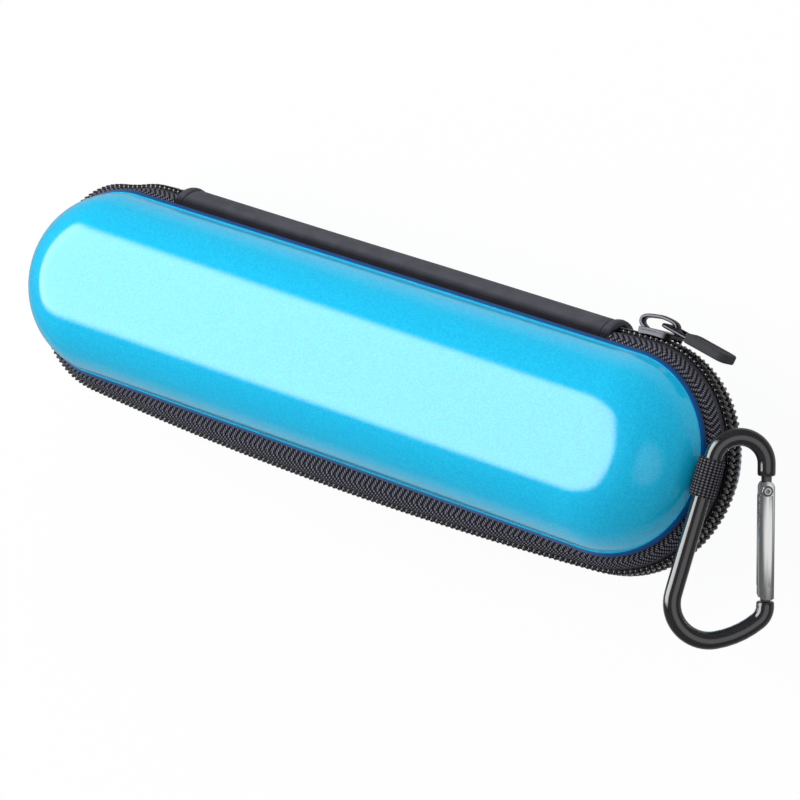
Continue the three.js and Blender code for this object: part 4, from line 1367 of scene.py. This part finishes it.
@dataclass
class HingeStrip:
    """Strip of coated cloth along the back, with a sewn band at each end. It is put on neither the base nor
    the lid.
    """

    form: CaseForm
    half_length: float = 75.0
    reach: float = 6.6
    thickness: float = 1.6
    band_gap: float = 0.3
    band_proud: float = 0.4
    bend_height: float = 6.5  # zip line to either end of the bend
    groove: float = 0.35  # dip where it comes out from under the shell
    groove_place: Pair = (2.2, 1.1)  # its middle and width, in steps of the section
    squareness: float = 0.92  # below 1 the section is fuller than an ellipse
    steps: int = 14  # of the section of one half
    ripple: float = 0.05  # height of the slow waves that the padding shows
    ripple_length: float = 17.0  # along the case, for one radian
    end_step: float = 0.9  # end of the strip to the first of its even rings
    end_shape: tuple[Pair, ...] = ((0.0, 0.55), (0.12, 0.28), (0.4, 0.08))  # in from the end, drop
    band_shape: tuple[Pair, ...] = (
        (0.0, 0.5), (0.15, 0.2), (0.5, 0.02), (1.2, -0.12), (1.9, 0.02), (2.25, 0.2), (2.4, 0.5),
    )

    def section(self, reach: float, thickness: float) -> list[Pair]:
        """Closed section over both halves.

        Args:
            reach: How far it stands out from the rim.
            thickness: Thickness of the padded cloth.

        Returns:
            (out, height) points, the last one equal to the first.
        """
        top, wall, foot = self.form.flange_top, self.form.wall, self.form.flange_bottom
        outer, inner = [(-wall, top), (-0.3, top)], [(-wall, foot), (-0.3, foot)]
        middle, width = self.groove_place
        for k in range(1, self.steps + 1):
            cos, sin = polar(1, 90 * k / self.steps)
            dip = self.groove * math.exp(-((k - middle) / width) ** 2)
            height = top * cos ** self.squareness - dip if k < self.steps else 0.0
            outer.append((reach * sin - dip * sin, height))
            inner.append(((reach - thickness) * sin, (top - thickness) * cos))
        upper, lower = [face + [(out, -height) for out, height in face[-2::-1]] for face in (outer, inner)]
        return upper + lower[::-1] + upper[:1]

    def laid(self, name: str, places: Iterable[Pair], thickness: float, nodes: Sequence[str]) -> None:
        """Models a length of the strip.

        Args:
            name: Name of the piece.
            places: (place along the case, reach) of each ring.
            thickness: Thickness of the cloth.
            nodes: CAD nodes that it replaces.
        """
        seam = self.form.seam
        rings, runs, across = [], [], []
        for x, reach in places:
            section = self.section(reach, thickness)
            across = lengths(section)
            runs.append(x)
            rings.append([(x, self.form.rim_radius + out, seam + height) for out, height in section])
        bend = ((0, 0, seam - self.bend_height), (0, 0, seam + self.bend_height))
        dress(woven(name, rings, runs, across), 50, Finishes.SHEATH, nodes, bend=bend)

    def build(self) -> None:
        """Builds the strip and its two end bands."""
        half, proud = self.half_length, self.reach + self.band_proud
        places = [(a - half, self.reach - drop) for a, drop in self.end_shape]
        for x in np.linspace(self.end_step - half, half - self.end_step, 70):
            places.append((x, self.reach + self.ripple * math.sin(x / self.ripple_length)))
        places += [(half - a, self.reach - drop) for a, drop in self.end_shape[::-1]]
        self.laid("hinge_strip", places, self.thickness, ["lower_hinge_leaf", "upper_hinge_leaf"])
        for hand in Hand:
            places = [(hand.value * (half + self.band_gap + a), proud - drop) for a, drop in self.band_shape]
            nodes = [f"{side.word}_hinge_band_{hand.word}" for side in Half]
            self.laid(f"hinge_band_{hand.word}", places, self.thickness + self.band_proud, nodes)


@dataclass
class Fittings:
    """Net pocket in the lid and elastic straps in the base."""

    form: CaseForm
    edge_radius: float = 23.1  # inside of the lining
    level: float = 5.5  # height from the zip line, over the binding's foot
    net_start: float = -96.0
    net_end: float = 8.0
    net_share: float = 0.985  # of the flat rectangle, because its corners follow the round end
    net_sheet: float = 0.5
    hem_start: float = 8.3
    hem_end: float = 14.3
    hem_thickness: float = 1.5
    gather: float = 2.3  # fold to fold of the gathered hem
    ruffle: float = 0.12  # height of those folds
    column_gap: float = 1.6  # of the mesh
    swell_start: Pair = (12.0, 0.25)  # a band's bow grows over this length, from this share
    strap_thickness: float = 1.1
    straps: tuple[tuple[str, float, float], ...] = (("handle_strap", -38.0, 22.0), ("neck_strap", 52.0, 14.0))

    def band(self, name: str, start: float, end: float, thickness: float, half: Half,
             swell: float, ruffle: float = 0.0, rings: int = 40) -> Piece:
        """Models a stretched band or net across a half.

        Args:
            name: Name of the piece.
            start: Where it starts along the case.
            end: Where it ends.
            thickness: Its thickness.
            half: Half that it lies in.
            swell: How far its middle bows towards the shell.
            ruffle: Height of the gathers.
            rings: Points across the case.

        Returns:
            The new piece.
        """
        xs = np.linspace(start, end, max(10, int((end - start) / self.column_gap)))
        rows = np.linspace(-1, 1, rings)
        length, first = self.swell_start
        grid = []
        for v in rows:
            row = []
            for x in xs:
                y = v * math.sqrt(self.edge_radius ** 2 - max(0.0, abs(x) - self.form.end_x) ** 2)
                fold = ruffle * math.sin(y * math.tau / self.gather) * (1 - abs(v) ** 6)
                height = self.level + swell * (1 - v * v) * min(1, (x - start) / length + first) + fold
                row.append((x, y, self.form.level(half, height)))
            grid.append(row)
        piece = woven(name, grid, rows * self.edge_radius, xs - start, wrap=False)
        modify(piece, "SOLIDIFY", thickness=thickness * MM, offset=float(half.value), use_even_offset=True)
        return piece

    def build(self) -> None:
        """Builds the pocket, its hem and the straps."""
        net = self.band("net_pocket", self.net_start, self.net_end, self.net_sheet, Half.UPPER, 0.25)
        dress(net, 60, Finishes.NET, ["mesh_pocket"], "lid")
        hem = self.band("gathered_hem", self.hem_start, self.hem_end, self.hem_thickness, Half.UPPER,
                        0.15, self.ruffle, 160)
        dress(hem, 60, Finishes.ELASTIC, ["pocket_hem"], "lid")
        for node, x, width in self.straps:
            strap = self.band(f"elastic_{node}", x - width / 2, x + width / 2, self.strap_thickness,
                              Half.LOWER, 0.2)
            dress(strap, 60, Finishes.ELASTIC, [node], "base")


@dataclass
class Slider:
    """Zip slider: outer plate, back plate with lips, web between them, and the bridge for the pull.
    It is modelled straight, with X along the zip, Y outwards and Z up, and then bent round the end."""

    form: CaseForm
    parked: float = 91.5
    length: float = 9.8
    plate: float = 1.1
    back_plate: float = 1.0
    outer_play: float = 0.6
    back_play: float = 0.5
    chain: float = 2.2
    lip_low: float = 3.4
    lip_high: float = 4.4
    root: float = 0.5  # how deep the web and the lips go into the plates
    web_length: float = 3.0
    web_half: float = 0.25  # half its thickness
    slot: Pair = (31.0, 32.8)  # gap between the lips, in which the tape runs
    taper: float = 0.13
    end_round: float = 0.06
    outer_edge: float = 0.42  # rounding of the outer plate
    back_edge: float = 0.3
    web_edge: float = 0.1
    lip_edge: float = 0.2
    bridge_height: float = 4.0
    bridge_width: float = 2.5
    bridge_bar: float = 1.1
    course: tuple[Pair, ...] = (  # the bridge: share of its height, share of half the length
        (-0.2, 0.8), (0.3, 1.22), (0.76, 1.1), (0.86, 0.35), (0.86, 0.0), (0.7, -0.67), (0.25, -0.88),
        (-0.2, -0.8),
    )
    pull_out: float = 36.3
    pull_back: float = 1.5
    pull_turn: float = -102.0
    wire: float = 1.2
    link_half: float = 3.2
    link_bend: float = 1.0
    link_length: float = 10.0
    tab_start: float = 7.4
    tab_length: float = 14.2
    tab_width: float = 8.4
    tab_thickness: float = 2.6
    tab_corner: float = 2.4
    tab_chamfer: float = 1.3
    tab_edge: float = 0.5  # rounding of its edges
    dish: tuple[Pair, ...] = ((0.0, 1.5), (0.32, 0.45))  # depth and width of each step of the grip

    @property
    def place(self) -> Matrix:
        """Place of the parked slider's frame."""
        return placed((self.form.end_x, 0, self.form.seam), self.parked)

    @property
    def pull_place(self) -> Matrix:
        """Place of the pull's frame, with X along the pull and Z along its pin."""
        return self.place @ placed((self.pull_out, -self.pull_back, 0), self.pull_turn)

    def bent(self, points: np.ndarray) -> np.ndarray:
        """Bends straight points round the end of the case."""
        angle = points[:, 0] / self.form.coil_radius
        return np.c_[points[:, 1] * np.cos(angle), points[:, 1] * np.sin(angle), points[:, 2]]

    def drawn_in(self, points: np.ndarray) -> np.ndarray:
        """Draws in the tail and rounds off both ends."""
        share = np.clip(-2 * points[:, 0] / self.length, -1, 1)
        points[:, 2] *= 1 - self.taper * np.clip(share, 0, 1) ** 1.5 - self.end_round * np.abs(share) ** 6
        return points

    def slab(self, name: str, faces: Pair, edges: Pair, start: float, edge: float) -> Piece:
        """Models one wall of the slider up to its leading end, narrower towards its tail.

        Args:
            name: Name of the wall.
            faces: Its inner and outer face, from the centre of the round end.
            edges: Its lower and upper edge, from the zip line.
            start: Its tail end along the zip.
            edge: Rounding of its edges.

        Returns:
            The wall, still straight.
        """
        piece = block(name, (start, faces[0], edges[0]), (self.length / 2, faces[1], edges[1]))
        with editing(piece):
            bpy.ops.mesh.subdivide(number_cuts=6)
        if start == -self.length / 2:
            reshaped(piece, self.drawn_in)
        rounded(piece, edge, 3)
        return piece

    def casting(self) -> None:
        """Models the slider's body."""
        r, half, root = self.form.coil_radius, self.length / 2, self.root
        inner, back_outer = r + self.outer_play, r - self.chain - self.back_play
        outer, back_inner = inner + self.plate, back_outer - self.back_plate
        edges = (-self.lip_high, self.lip_high)
        walls = [
            self.slab("outer_plate", (inner, outer), edges, -half, self.outer_edge),
            self.slab("back_plate", (back_inner, back_outer), edges, -half, self.back_edge),
            self.slab("web", (back_inner + root, outer - root), (-self.web_half, self.web_half),
                      half - self.web_length, self.web_edge),
        ]
        for edges in ((-self.lip_high, -self.lip_low), (self.lip_low, self.lip_high)):
            for name, faces in (("front_lip", (self.slot[1], outer - root)),
                                ("rear_lip", (back_inner + root, self.slot[0]))):
                walls.append(self.slab(name, faces, edges, -half, self.lip_edge))
        knots = [(half * along, outer + self.bridge_height * rise, 0) for rise, along in self.course]
        section = soft_box(self.bridge_bar / 2, self.bridge_width / 2, 5, 20)
        walls.append(swept_bar("bridge", smooth_line(knots, 6), section, (0, 0, 1)))
        piece = settled(reshaped(joined("slider_casting", walls), self.bent), self.place)
        dress(piece, 35, Finishes.NICKEL, ["slider_body"], "slider")

    def link(self) -> None:
        """Bends the wire link that runs in the bridge and into the tab."""
        h, bend = self.link_half, self.link_bend
        arc = []
        for angle in (0, 22.5, 45, 67.5, 90):
            cos, sin = polar(bend, angle)
            arc.append((bend - sin, 0, h - bend + cos))
        leg = [(self.link_length, 0, h)] + arc
        knots = leg + [(x, y, -z) for x, y, z in leg[::-1]]
        piece = settled(wire("pull_wire", knots, self.wire / 2, 4), self.pull_place)
        dress(piece, 60, Finishes.NICKEL, ["pull_link"], "pull")

    def grip(self) -> None:
        """Models the rubber tab: a rounded plate with a dished grip on each face."""
        half, start, chamfer, r = self.tab_width / 2, self.tab_start, self.tab_chamfer, self.tab_corner
        end, low = start + self.tab_length - r, -self.tab_thickness / 2
        outline = [(start, chamfer - half), (start + chamfer, -half), *corner_arc((end, r - half), r, -90),
                   *corner_arc((end, half - r), r, 0), (start + chamfer, half), (start, half - chamfer)]
        piece = plate("pull_grip", [(x, low, z) for x, z in outline], (0, self.tab_thickness, 0))
        with editing(piece):
            bpy.context.tool_settings.mesh_select_mode = (False, False, True)
            for depth, width in self.dish:
                faces = bmesh.from_edit_mesh(piece.data).faces
                least = sorted(face.calc_area() for face in faces)[-2] * 0.999
                pick(piece, "faces", lambda face: face.calc_area() > least and abs(face.normal.y) > 0.9)
                bpy.ops.mesh.inset(thickness=width * MM, depth=-depth * MM)
        bpy.context.tool_settings.mesh_select_mode = (True, False, False)
        rounded(piece, self.tab_edge, 4, 50)
        settled(piece, self.pull_place)
        dress(piece, 35, Finishes.RUBBER, ["pull_tab"], "pull")

    def build(self) -> None:
        """Builds the slider and its pull."""
        self.casting()
        self.link()
        self.grip()


@dataclass
class WebbingLoop:
    """Webbing from under the edge of the upper shell, round the spine of the hook and back. Places
    are along the case and up from the zip line."""

    form: CaseForm
    width: float = 10.4
    thickness: float = 0.85
    middle: float = 1.6
    centre: Pair = (121.7, 11.5)
    ring: float = 3.15
    root: tuple[Pair, ...] = ((116.0, 7.62), (117.6, 7.62), (118.8, 7.72), (119.6, 8.2))
    tail: tuple[Pair, ...] = ((118.5, 11.0), (118.75, 10.2), (119.2, 9.3))
    tack: Pair = (118.95, 9.5)  # the stitches across its root
    tack_edge: float = 0.7
    zigzag: tuple[Pair, Pair] = ((-0.04, -0.5), (0.36, 0.5))  # by turns, out and up from there
    tack_steps: int = 32
    thread: float = 0.17  # radius

    def build(self) -> None:
        """Builds the loop and the stitches across its root."""
        seam, half = self.form.seam, self.width / 2
        turn = [(self.centre[0] + x, self.centre[1] + z)
                for x, z in [polar(self.ring, angle) for angle in range(-120, 176, 8)]]
        line = [(x, 0, seam + height) for x, height in (*self.root, *turn, *self.tail)]
        section = [(b, a) for a, b in soft_box(half, self.thickness / 2, 7, 44)]
        piece = swept_bar("webbing_band", line, section, (0, 1, 0))
        reshaped(piece, lambda points: points + np.array([0, self.middle, 0]))
        dress(piece, 50, Finishes.WEBBING, ["webbing_loop"], "lid")
        x, height = self.tack
        points = []
        for k in range(self.tack_steps + 1):
            out, lift = self.zigzag[k % 2]
            y = self.middle - half + self.tack_edge + (self.width - 2 * self.tack_edge) * k / self.tack_steps
            points.append((x + out, y, seam + height + lift))
        tack = wire("webbing_bar_tack", points, self.thread, 1)
        dress(tack, 80, Finishes.THREAD, body="lid")


@dataclass
class SnapHook:
    """Snap hook: a bent bar with a thin tang and tongue, a folded gate, its rivet and its spring.
    It is modelled flat, with the spine along Y, and then hung in the webbing."""

    origin: Triple = (121.7, 0.0, 40.0)
    tilt: float = 38.0
    bar: float = 4.8
    bar_face: float = 4.5  # thickness across the flat faces
    bar_end: float = 0.6  # rounding of its two ends
    top_radius: float = 7.2
    top_v: float = 7.4
    heel_radius: float = 10.0
    heel_v: float = -30.2
    heel_end: float = 295.0
    base_radius: float = 24.0
    base_end: float = 325.0
    toe_radius: float = 5.0
    shoulder: float = 3.2
    pivot: float = 7.0
    nose: float = 1.4
    root: float = 0.8  # how deep the tang and the tongue go into the bar
    tongue_length: float = 3.4
    tongue_thickness: float = 2.2
    tongue_width: float = 2.6
    gate_width: float = 4.2
    gate_depth: float = 4.6
    gate_sheet: float = 0.7
    gate_start_x: float = 1.2  # from the rivet
    gate_foot: float = 0.5  # full bar of the nose to the ears' ends
    gate_gap: float = 0.6  # root of the tongue to the end of the gate's back
    gate_edge: float = 0.1  # rounding of the sheet's edges
    gate_top: float = 2.7
    gate_fold: float = 0.95
    gate_bow: float = 0.16
    ear_share: float = 0.95  # of the gate's width
    rivet: float = 2.0
    rivet_head: float = 2.9
    rivet_play: float = 0.07
    head_gap: float = 0.12  # face of the gate to the head's foot
    dome: tuple[Pair, ...] = (  # share of the head's radius, height over the gate
        (0.7, 0.43), (0.45, 0.5), (0.34, 0.46), (0.2, 0.34), (0.0, 0.3),
    )
    spring_half: float = 0.75  # half the width over its legs
    spring_gap: Pair = (0.75, 0.45)  # its middle line to the gate's open side and to its back
    spring_wire: float = 0.24  # radius

    def __post_init__(self) -> None:
        """Works out the bends and the gate's line."""
        top, heel = np.array([self.top_radius, self.top_v]), np.array([self.heel_radius, self.heel_v])
        heel_end = heel + polar(self.heel_radius, self.heel_end)
        base = heel_end - polar(self.base_radius, self.heel_end)
        base_end = base + polar(self.base_radius, self.base_end)
        toe = base_end - polar(self.toe_radius, self.base_end)
        off = toe - top
        lean = math.acos((self.top_radius - self.toe_radius) / np.linalg.norm(off))
        gate = math.degrees(math.atan2(off[1], off[0]) + lean)
        self.gate_start = top + polar(self.top_radius, gate)
        line = toe + polar(self.toe_radius, gate) - self.gate_start
        self.gate_length = float(np.linalg.norm(line))
        self.gate_along = line / self.gate_length
        self.arcs = ((top, self.top_radius, gate, 180.0), (heel, self.heel_radius, 180.0, self.heel_end),
                     (base, self.base_radius, self.heel_end, self.base_end),
                     (toe, self.toe_radius, self.base_end, 360.0 + gate))

    @property
    def place(self) -> Matrix:
        """Place of the hook's plane."""
        return placed(self.origin, self.tilt, "Y")

    @property
    def gate_place(self) -> Matrix:
        """Place of the gate's frame: X from the rivet to the nose, Y away from the spine."""
        x, y = self.gate_start + self.gate_along * self.pivot
        return self.place @ placed((x, y, 0), math.degrees(math.atan2(*self.gate_along[::-1])))

    @property
    def nose_place(self) -> float:
        """Rivet to the full bar of the nose."""
        return self.gate_length - self.nose - self.pivot

    def middle_line(self) -> list[Triple]:
        """Middle line of the bar, from the shoulder round to the nose."""
        points = [self.gate_start + self.gate_along * run for run in (self.shoulder, self.shoulder / 2)]
        for centre, radius, start, end in self.arcs:
            steps = max(4, int(abs(end - start) / 6))
            points += [centre + polar(radius, start + (end - start) * k / steps) for k in range(steps + 1)]
        points.append(self.gate_start + self.gate_along * (self.gate_length - self.nose))
        spaced = points[:1]
        for point in points[1:]:
            gap = np.linalg.norm(point - spaced[-1])
            if gap >= 0.05:
                for t in np.linspace(0, 1, max(2, int(gap / 3) + 1))[1:]:
                    spaced.append(spaced[-1] + (point - spaced[-1]) * t)
        return [(float(x), float(y), 0.0) for x, y in spaced]

    def body(self) -> None:
        """Models the bar with its tang and tongue."""
        section = soft_box(self.bar / 2, self.bar_face / 2, 2.2, 32)
        bar = settled(swept_bar("hook_bar", self.middle_line(), section, (0, 0, 1), self.bar_end), self.place)
        w, t, foot = self.tongue_width / 2, self.tongue_thickness / 2, self.shoulder - self.pivot - self.root
        outline = [(foot, -w), *[polar(w, angle) for angle in range(-75, 76, 15)], (foot, w)]
        tang = plate("tang", [(x, y, -t) for x, y in outline], (0, 0, 2 * t))
        rounded(tang, 0.25, 2, 50)
        tongue = block("tongue", (self.nose_place - self.tongue_length, -w, -t),
                       (self.nose_place + self.root, w, t))
        rounded(tongue, 0.35, 3)
        parts = [settled(part, self.gate_place) for part in (tang, tongue)]
        piece = joined("hook_bar", [bar] + parts)
        dress(piece, 40, Finishes.ANODISED, ["carabiner_body"], "carabiner")

    def gate(self) -> None:
        """Models the folded gate: a channel open towards the spine, with an ear at each end of its
        sides."""
        foot, sheet = self.nose_place - self.gate_foot, self.gate_sheet
        w, d = self.gate_width / 2, self.gate_depth / 2
        channel = block("channel", (self.gate_start_x, -w, -d),
                        (self.nose_place - self.tongue_length - self.gate_gap, w, d))
        with editing(channel):
            pick(channel, "faces", lambda face: face.normal.y < -0.9 or abs(face.normal.x) > 0.9)
            bpy.ops.mesh.delete(type="FACE")
            pick(channel, "edges", lambda edge: all(v.co.y > (w - 0.01) * MM for v in edge.verts)
                 and abs(edge.verts[0].co.x - edge.verts[1].co.x) > MM)
            bpy.ops.mesh.bevel(offset=self.gate_fold * MM, segments=6, affect="EDGES")
            bpy.ops.mesh.select_all(action="SELECT")
            bpy.ops.mesh.normals_make_consistent(inside=False)
        if max(channel.data.polygons, key=lambda face: face.center.y).normal.y < 0:
            with editing(channel):
                bpy.ops.mesh.flip_normals()
        modify(channel, "SOLIDIFY", thickness=sheet * MM, offset=-1.0, use_even_offset=True)
        rounded(channel, self.gate_edge, 2, 50)
        # Round eye at the rivet, then the end that meets the nose.
        r = w * self.ear_share
        outline = [*corner_arc((r - self.gate_top, 0), r, 90), *corner_arc((r - self.gate_top, 0), r, 180),
                   (foot - 1.2, -r), (foot - 0.35, -w * 0.75), (foot, -w * 0.3), (foot, w * 0.6),
                   (foot - 0.4, r)]
        parts = [channel]
        for side in (-1, 1):
            outer = side * (d - 0.02)
            ear = plate("ear", [(x, y, outer) for x, y in outline], (0, 0, -side * (sheet - 0.04)))
            rounded(ear, self.gate_edge, 2, 50)
            parts.append(ear)
        piece = settled(reshaped(joined("hook_gate", parts), self.bowed), self.gate_place)
        dress(piece, 35, Finishes.GATE, ["carabiner_gate"], "gate")

    def bowed(self, points: np.ndarray) -> np.ndarray:
        """Bows the gate's two faces outwards a little, as pressed sheet is."""
        share = np.clip(points[:, 1] / (self.gate_width / 2), -1, 1)
        points[:, 2] *= 1 + self.gate_bow / (self.gate_depth / 2) * (1 - share ** 2)
        return points

    def pin(self) -> None:
        """Turns the rivet: a shank with a low domed head on each side."""
        face, head = self.gate_depth / 2 + self.head_gap, self.rivet_head / 2
        shank = self.rivet / 2 - self.rivet_play
        # Shank and the head's rounded rim, then its dome with a small dimple.
        half = [(shank, 0), (shank, face), (head - 0.06, face), (head, face + 0.1),
                (head - 0.08, face + 0.28)]
        half += [(head * share, face + height) for share, height in self.dome]
        profile = [(r, 0, -z) for r, z in half[::-1]] + [(r, 0, z) for r, z in half[1:]]
        piece = drawn_line("hook_rivet", profile)
        bpy.ops.mesh.spin(steps=32, angle=math.tau, center=(0, 0, 0), axis=(0, 0, 1))
        cleaned(piece)
        settled(piece, self.gate_place)
        dress(piece, 35, Finishes.RIVET, ["gate_rivet"], "carabiner")

    def spring(self) -> None:
        """Bends the hairpin spring inside the gate."""
        w, (front, back) = self.gate_width / 2, self.spring_gap
        low, high = front - w, w - self.gate_sheet - back
        # Each point: distance from the rivet along the gate, then place across it.
        leg = [(x, y, self.spring_half) for x, y in (
            (1.75, low + 0.1), (1.6, low - 0.1), (2.6, low - 0.05), (5.5, low + 0.25), (9.0, high - 0.5),
            (10.6, high))]
        knots = leg + [(11.2, high, 0.0)] + [(x, y, -z) for x, y, z in leg[::-1]]
        piece = wire("gate_hairpin_spring", smooth_line(knots, 5), self.spring_wire, 3)
        dress(settled(piece, self.gate_place), 60, Finishes.SPRING, ["gate_spring"], "gate")

    def build(self) -> None:
        """Builds the hook's pieces."""
        self.body()
        self.gate()
        self.pin()
        self.spring()


@dataclass
class Studio:
    """Floor, lamps, world and camera, in metres. The photograph's lacquer mirrors one softbox in a
    dark room, so mirror rays see the floor and the world dimmer than the camera does."""

    camera_place: Triple = (0.5698, 0.0673, 0.8576)
    right: Triple = (0.7872, 0.2741, -0.5524)
    up: Triple = (-0.2675, 0.9589, 0.0946)
    view: Triple = (-0.5556, -0.0733, -0.8282)
    lens: float = 159.12
    sensor: float = 36.0
    floor_size: float = 6.0
    target: Triple = (0.0, 0.0, 0.03)
    softbox_place: Triple = (-0.85, 0.05, 1.15)
    softbox_size: Pair = (1.5, 1.9)
    softbox_power: float = 23.0
    card_size: Pair = (2.2, 2.6)
    glare_radiance: float = 6.6
    glare_core: float = 0.24  # share of the width from the middle to where the front starts to fade
    glare_end: float = 0.42
    even_light: float = 0.3
    room_light: float = 0.12
    pale_way: Triple = (0.816, -0.022, 0.578)  # direction of the room's pale side
    pale_light: float = 0.95
    pale_edge: Pair = (0.88, 0.985)
    white_share: float = 0.95
    paper: Triple = (0.86, 0.86, 0.86)
    near_floor: Pair = (0.1, 0.45)  # distance from the case and mirrored brightness
    far_floor: float = 0.3

    def facing(self, place: Point) -> Quaternion:
        """Turn of a lamp at a place that faces the case."""
        return (Vector(place) - Vector(self.target)).to_track_quat("Z", "Y")

    def linked(self, name: str, data: bpy.types.ID) -> Piece:
        """Adds an object for a camera or a lamp."""
        made = bpy.data.objects.new(name, data)
        bpy.context.collection.objects.link(made)
        return made

    def camera(self) -> None:
        """Adds the camera at the photograph's place."""
        data = bpy.data.cameras.new("camera")
        data.lens, data.sensor_width, data.clip_end = self.lens, self.sensor, 50
        made = self.linked("camera", data)
        columns = Matrix((self.right, self.up, tuple(-v for v in self.view))).transposed().to_4x4()
        made.matrix_world = Matrix.Translation(self.camera_place) @ columns
        bpy.context.scene.camera = made

    def lamp(self, name: str, place: Point, size: Pair, power: float) -> None:
        """Adds a soft lamp that faces the case and that glossy surfaces don't mirror.

        Args:
            name: Name of the lamp.
            place: Its place in metres.
            size: Width and height in metres.
            power: Power in watts.
        """
        data = bpy.data.lights.new(name, "AREA")
        data.shape, data.size, data.size_y, data.energy = "RECTANGLE", size[0], size[1], power
        made = self.linked(name, data)
        made.visible_glossy = False
        made.location = place
        made.rotation_euler = self.facing(place).to_euler()

    def emptied(self, made: bpy.types.Material | bpy.types.World) -> Tree:
        """Turns on a material's or world's nodes and removes the first ones."""
        made.use_nodes = True
        made.node_tree.nodes.clear()
        return made.node_tree

    def sheet(self, name: str, size: float, title: str) -> tuple[Piece, Tree]:
        """Adds a square plane with an empty material.

        Args:
            name: Name of the plane.
            size: Its width in metres.
            title: Name of the material.

        Returns:
            The plane and its material's node tree.
        """
        bare_selection()
        bpy.ops.mesh.primitive_plane_add(size=size)
        piece = started(name)
        piece.data.materials.append(bpy.data.materials.new(title))
        return piece, self.emptied(piece.data.materials[0])

    def softbox_card(self) -> None:
        """Adds the softbox as lacquer and metal mirror it: an even front that fades towards its edge.
        Matt surfaces and the camera don't see it."""
        piece, tree = self.sheet("softbox_front", 1, "lit diffuser cloth")
        turn = self.facing(self.softbox_place).to_matrix().to_4x4()
        stretch = Matrix.Diagonal((*self.card_size, 1, 1))
        piece.data.transform(Matrix.Translation(self.softbox_place) @ turn @ stretch)
        piece.visible_camera = piece.visible_diffuse = piece.visible_shadow = False
        place = add(tree, "SeparateXYZ", {0: add(tree, "TexCoord").outputs["UV"]})
        shares = {}
        for axis in (0, 1):
            off = away_from(tree, place.outputs[axis], 0.5)
            sockets = {0: off, 1: self.glare_end, 2: self.glare_core}
            shares[axis] = add(tree, "MapRange", sockets, interpolation_type="SMOOTHSTEP")
        even = add(tree, "Math", shares, operation="MULTIPLY")
        level = add(tree, "Math", {0: even, 1: self.glare_radiance}, operation="MULTIPLY")
        add(tree, "OutputMaterial", {0: add(tree, "Emission", {0: WHITE, 1: level})})

    def mirrored(self, tree: Tree) -> Node:
        """1 for glossy and transmission rays, which show the surroundings in metal and lacquer."""
        rays = add(tree, "LightPath").outputs
        sockets = {0: rays["Is Glossy Ray"], 1: rays["Is Transmission Ray"]}
        return add(tree, "Math", sockets, operation="MAXIMUM")

    def world(self) -> None:
        """Sets the surroundings: white behind the case, an even dim light, and a dark room with a
        pale side for what metal and lacquer mirror."""
        made = bpy.data.worlds.new("dark room with a pale side")
        tree = self.emptied(made)
        seen = add(tree, "LightPath").outputs["Is Camera Ray"]
        even = add(tree, "Background", {0: WHITE, 1: self.even_light})
        behind = add(tree, "Background", {0: WHITE, 1: 1.0})
        way = add(tree, "TexCoord").outputs["Generated"]
        near = add(tree, "VectorMath", {0: way, 1: self.pale_way}, operation="DOT_PRODUCT")
        sockets = {0: near.outputs["Value"], 1: self.pale_edge[0], 2: self.pale_edge[1],
                   3: self.room_light, 4: self.pale_light}
        pale = add(tree, "MapRange", sockets, interpolation_type="SMOOTHSTEP")
        room = add(tree, "Background", {0: WHITE, 1: pale})
        lit = add(tree, "MixShader", {0: self.mirrored(tree), 1: even, 2: room})
        mix = add(tree, "MixShader", {0: seen, 1: lit, 2: behind})
        add(tree, "OutputWorld", {0: mix})
        bpy.context.scene.world = made

    def floor(self) -> None:
        """Adds the white floor, which keeps a faint shadow. In what metal and lacquer mirror it
        darkens away from the case."""
        piece, tree = self.sheet("studio_floor", self.floor_size, "white paper sweep")
        paper = add(tree, "BsdfDiffuse", {0: (*self.paper, 1.0)})
        glow = add(tree, "Emission", {0: WHITE, 1: 1.0})
        seen = add(tree, "LightPath").outputs["Is Camera Ray"]
        share = add(tree, "Math", {0: seen, 1: self.white_share}, operation="MULTIPLY")
        shown = add(tree, "MixShader", {0: share, 1: paper, 2: glow})
        place = add(tree, "NewGeometry").outputs["Position"]
        far = add(tree, "VectorMath", {0: place}, operation="LENGTH").outputs["Value"]
        near, light = self.near_floor
        sockets = {0: far, 1: near, 2: self.far_floor, 3: light, 4: self.room_light}
        fall = add(tree, "MapRange", sockets)
        image = add(tree, "Emission", {0: WHITE, 1: fall})
        mix = add(tree, "MixShader", {0: self.mirrored(tree), 1: shown, 2: image})
        add(tree, "OutputMaterial", {0: mix})

    def build(self) -> None:
        """Builds the studio."""
        bpy.context.scene.view_settings.view_transform = "Standard"
        self.camera()
        self.world()
        self.floor()
        self.lamp("large_softbox", self.softbox_place, self.softbox_size, self.softbox_power)
        self.lamp("front_fill", (0.9, -1.3, 0.9), (1.0, 0.8), 3.0)
        self.lamp("back_edge", (0.3, 1.5, 0.7), (1.2, 0.5), 8.0)
        self.softbox_card()


def main() -> None:
    """Builds the case, its fittings and the studio."""
    form = CaseForm()
    path = ZipPath(form)
    Studio().build()
    for half in Half:
        ShellHalf(form, half).build()
        ZipHalf(form, path, half).build()
    HingeStrip(form).build()
    Fittings(form).build()
    Slider(form).build()
    WebbingLoop(form).build()
    SnapHook().build()


if __name__ == "__main__":
    main()
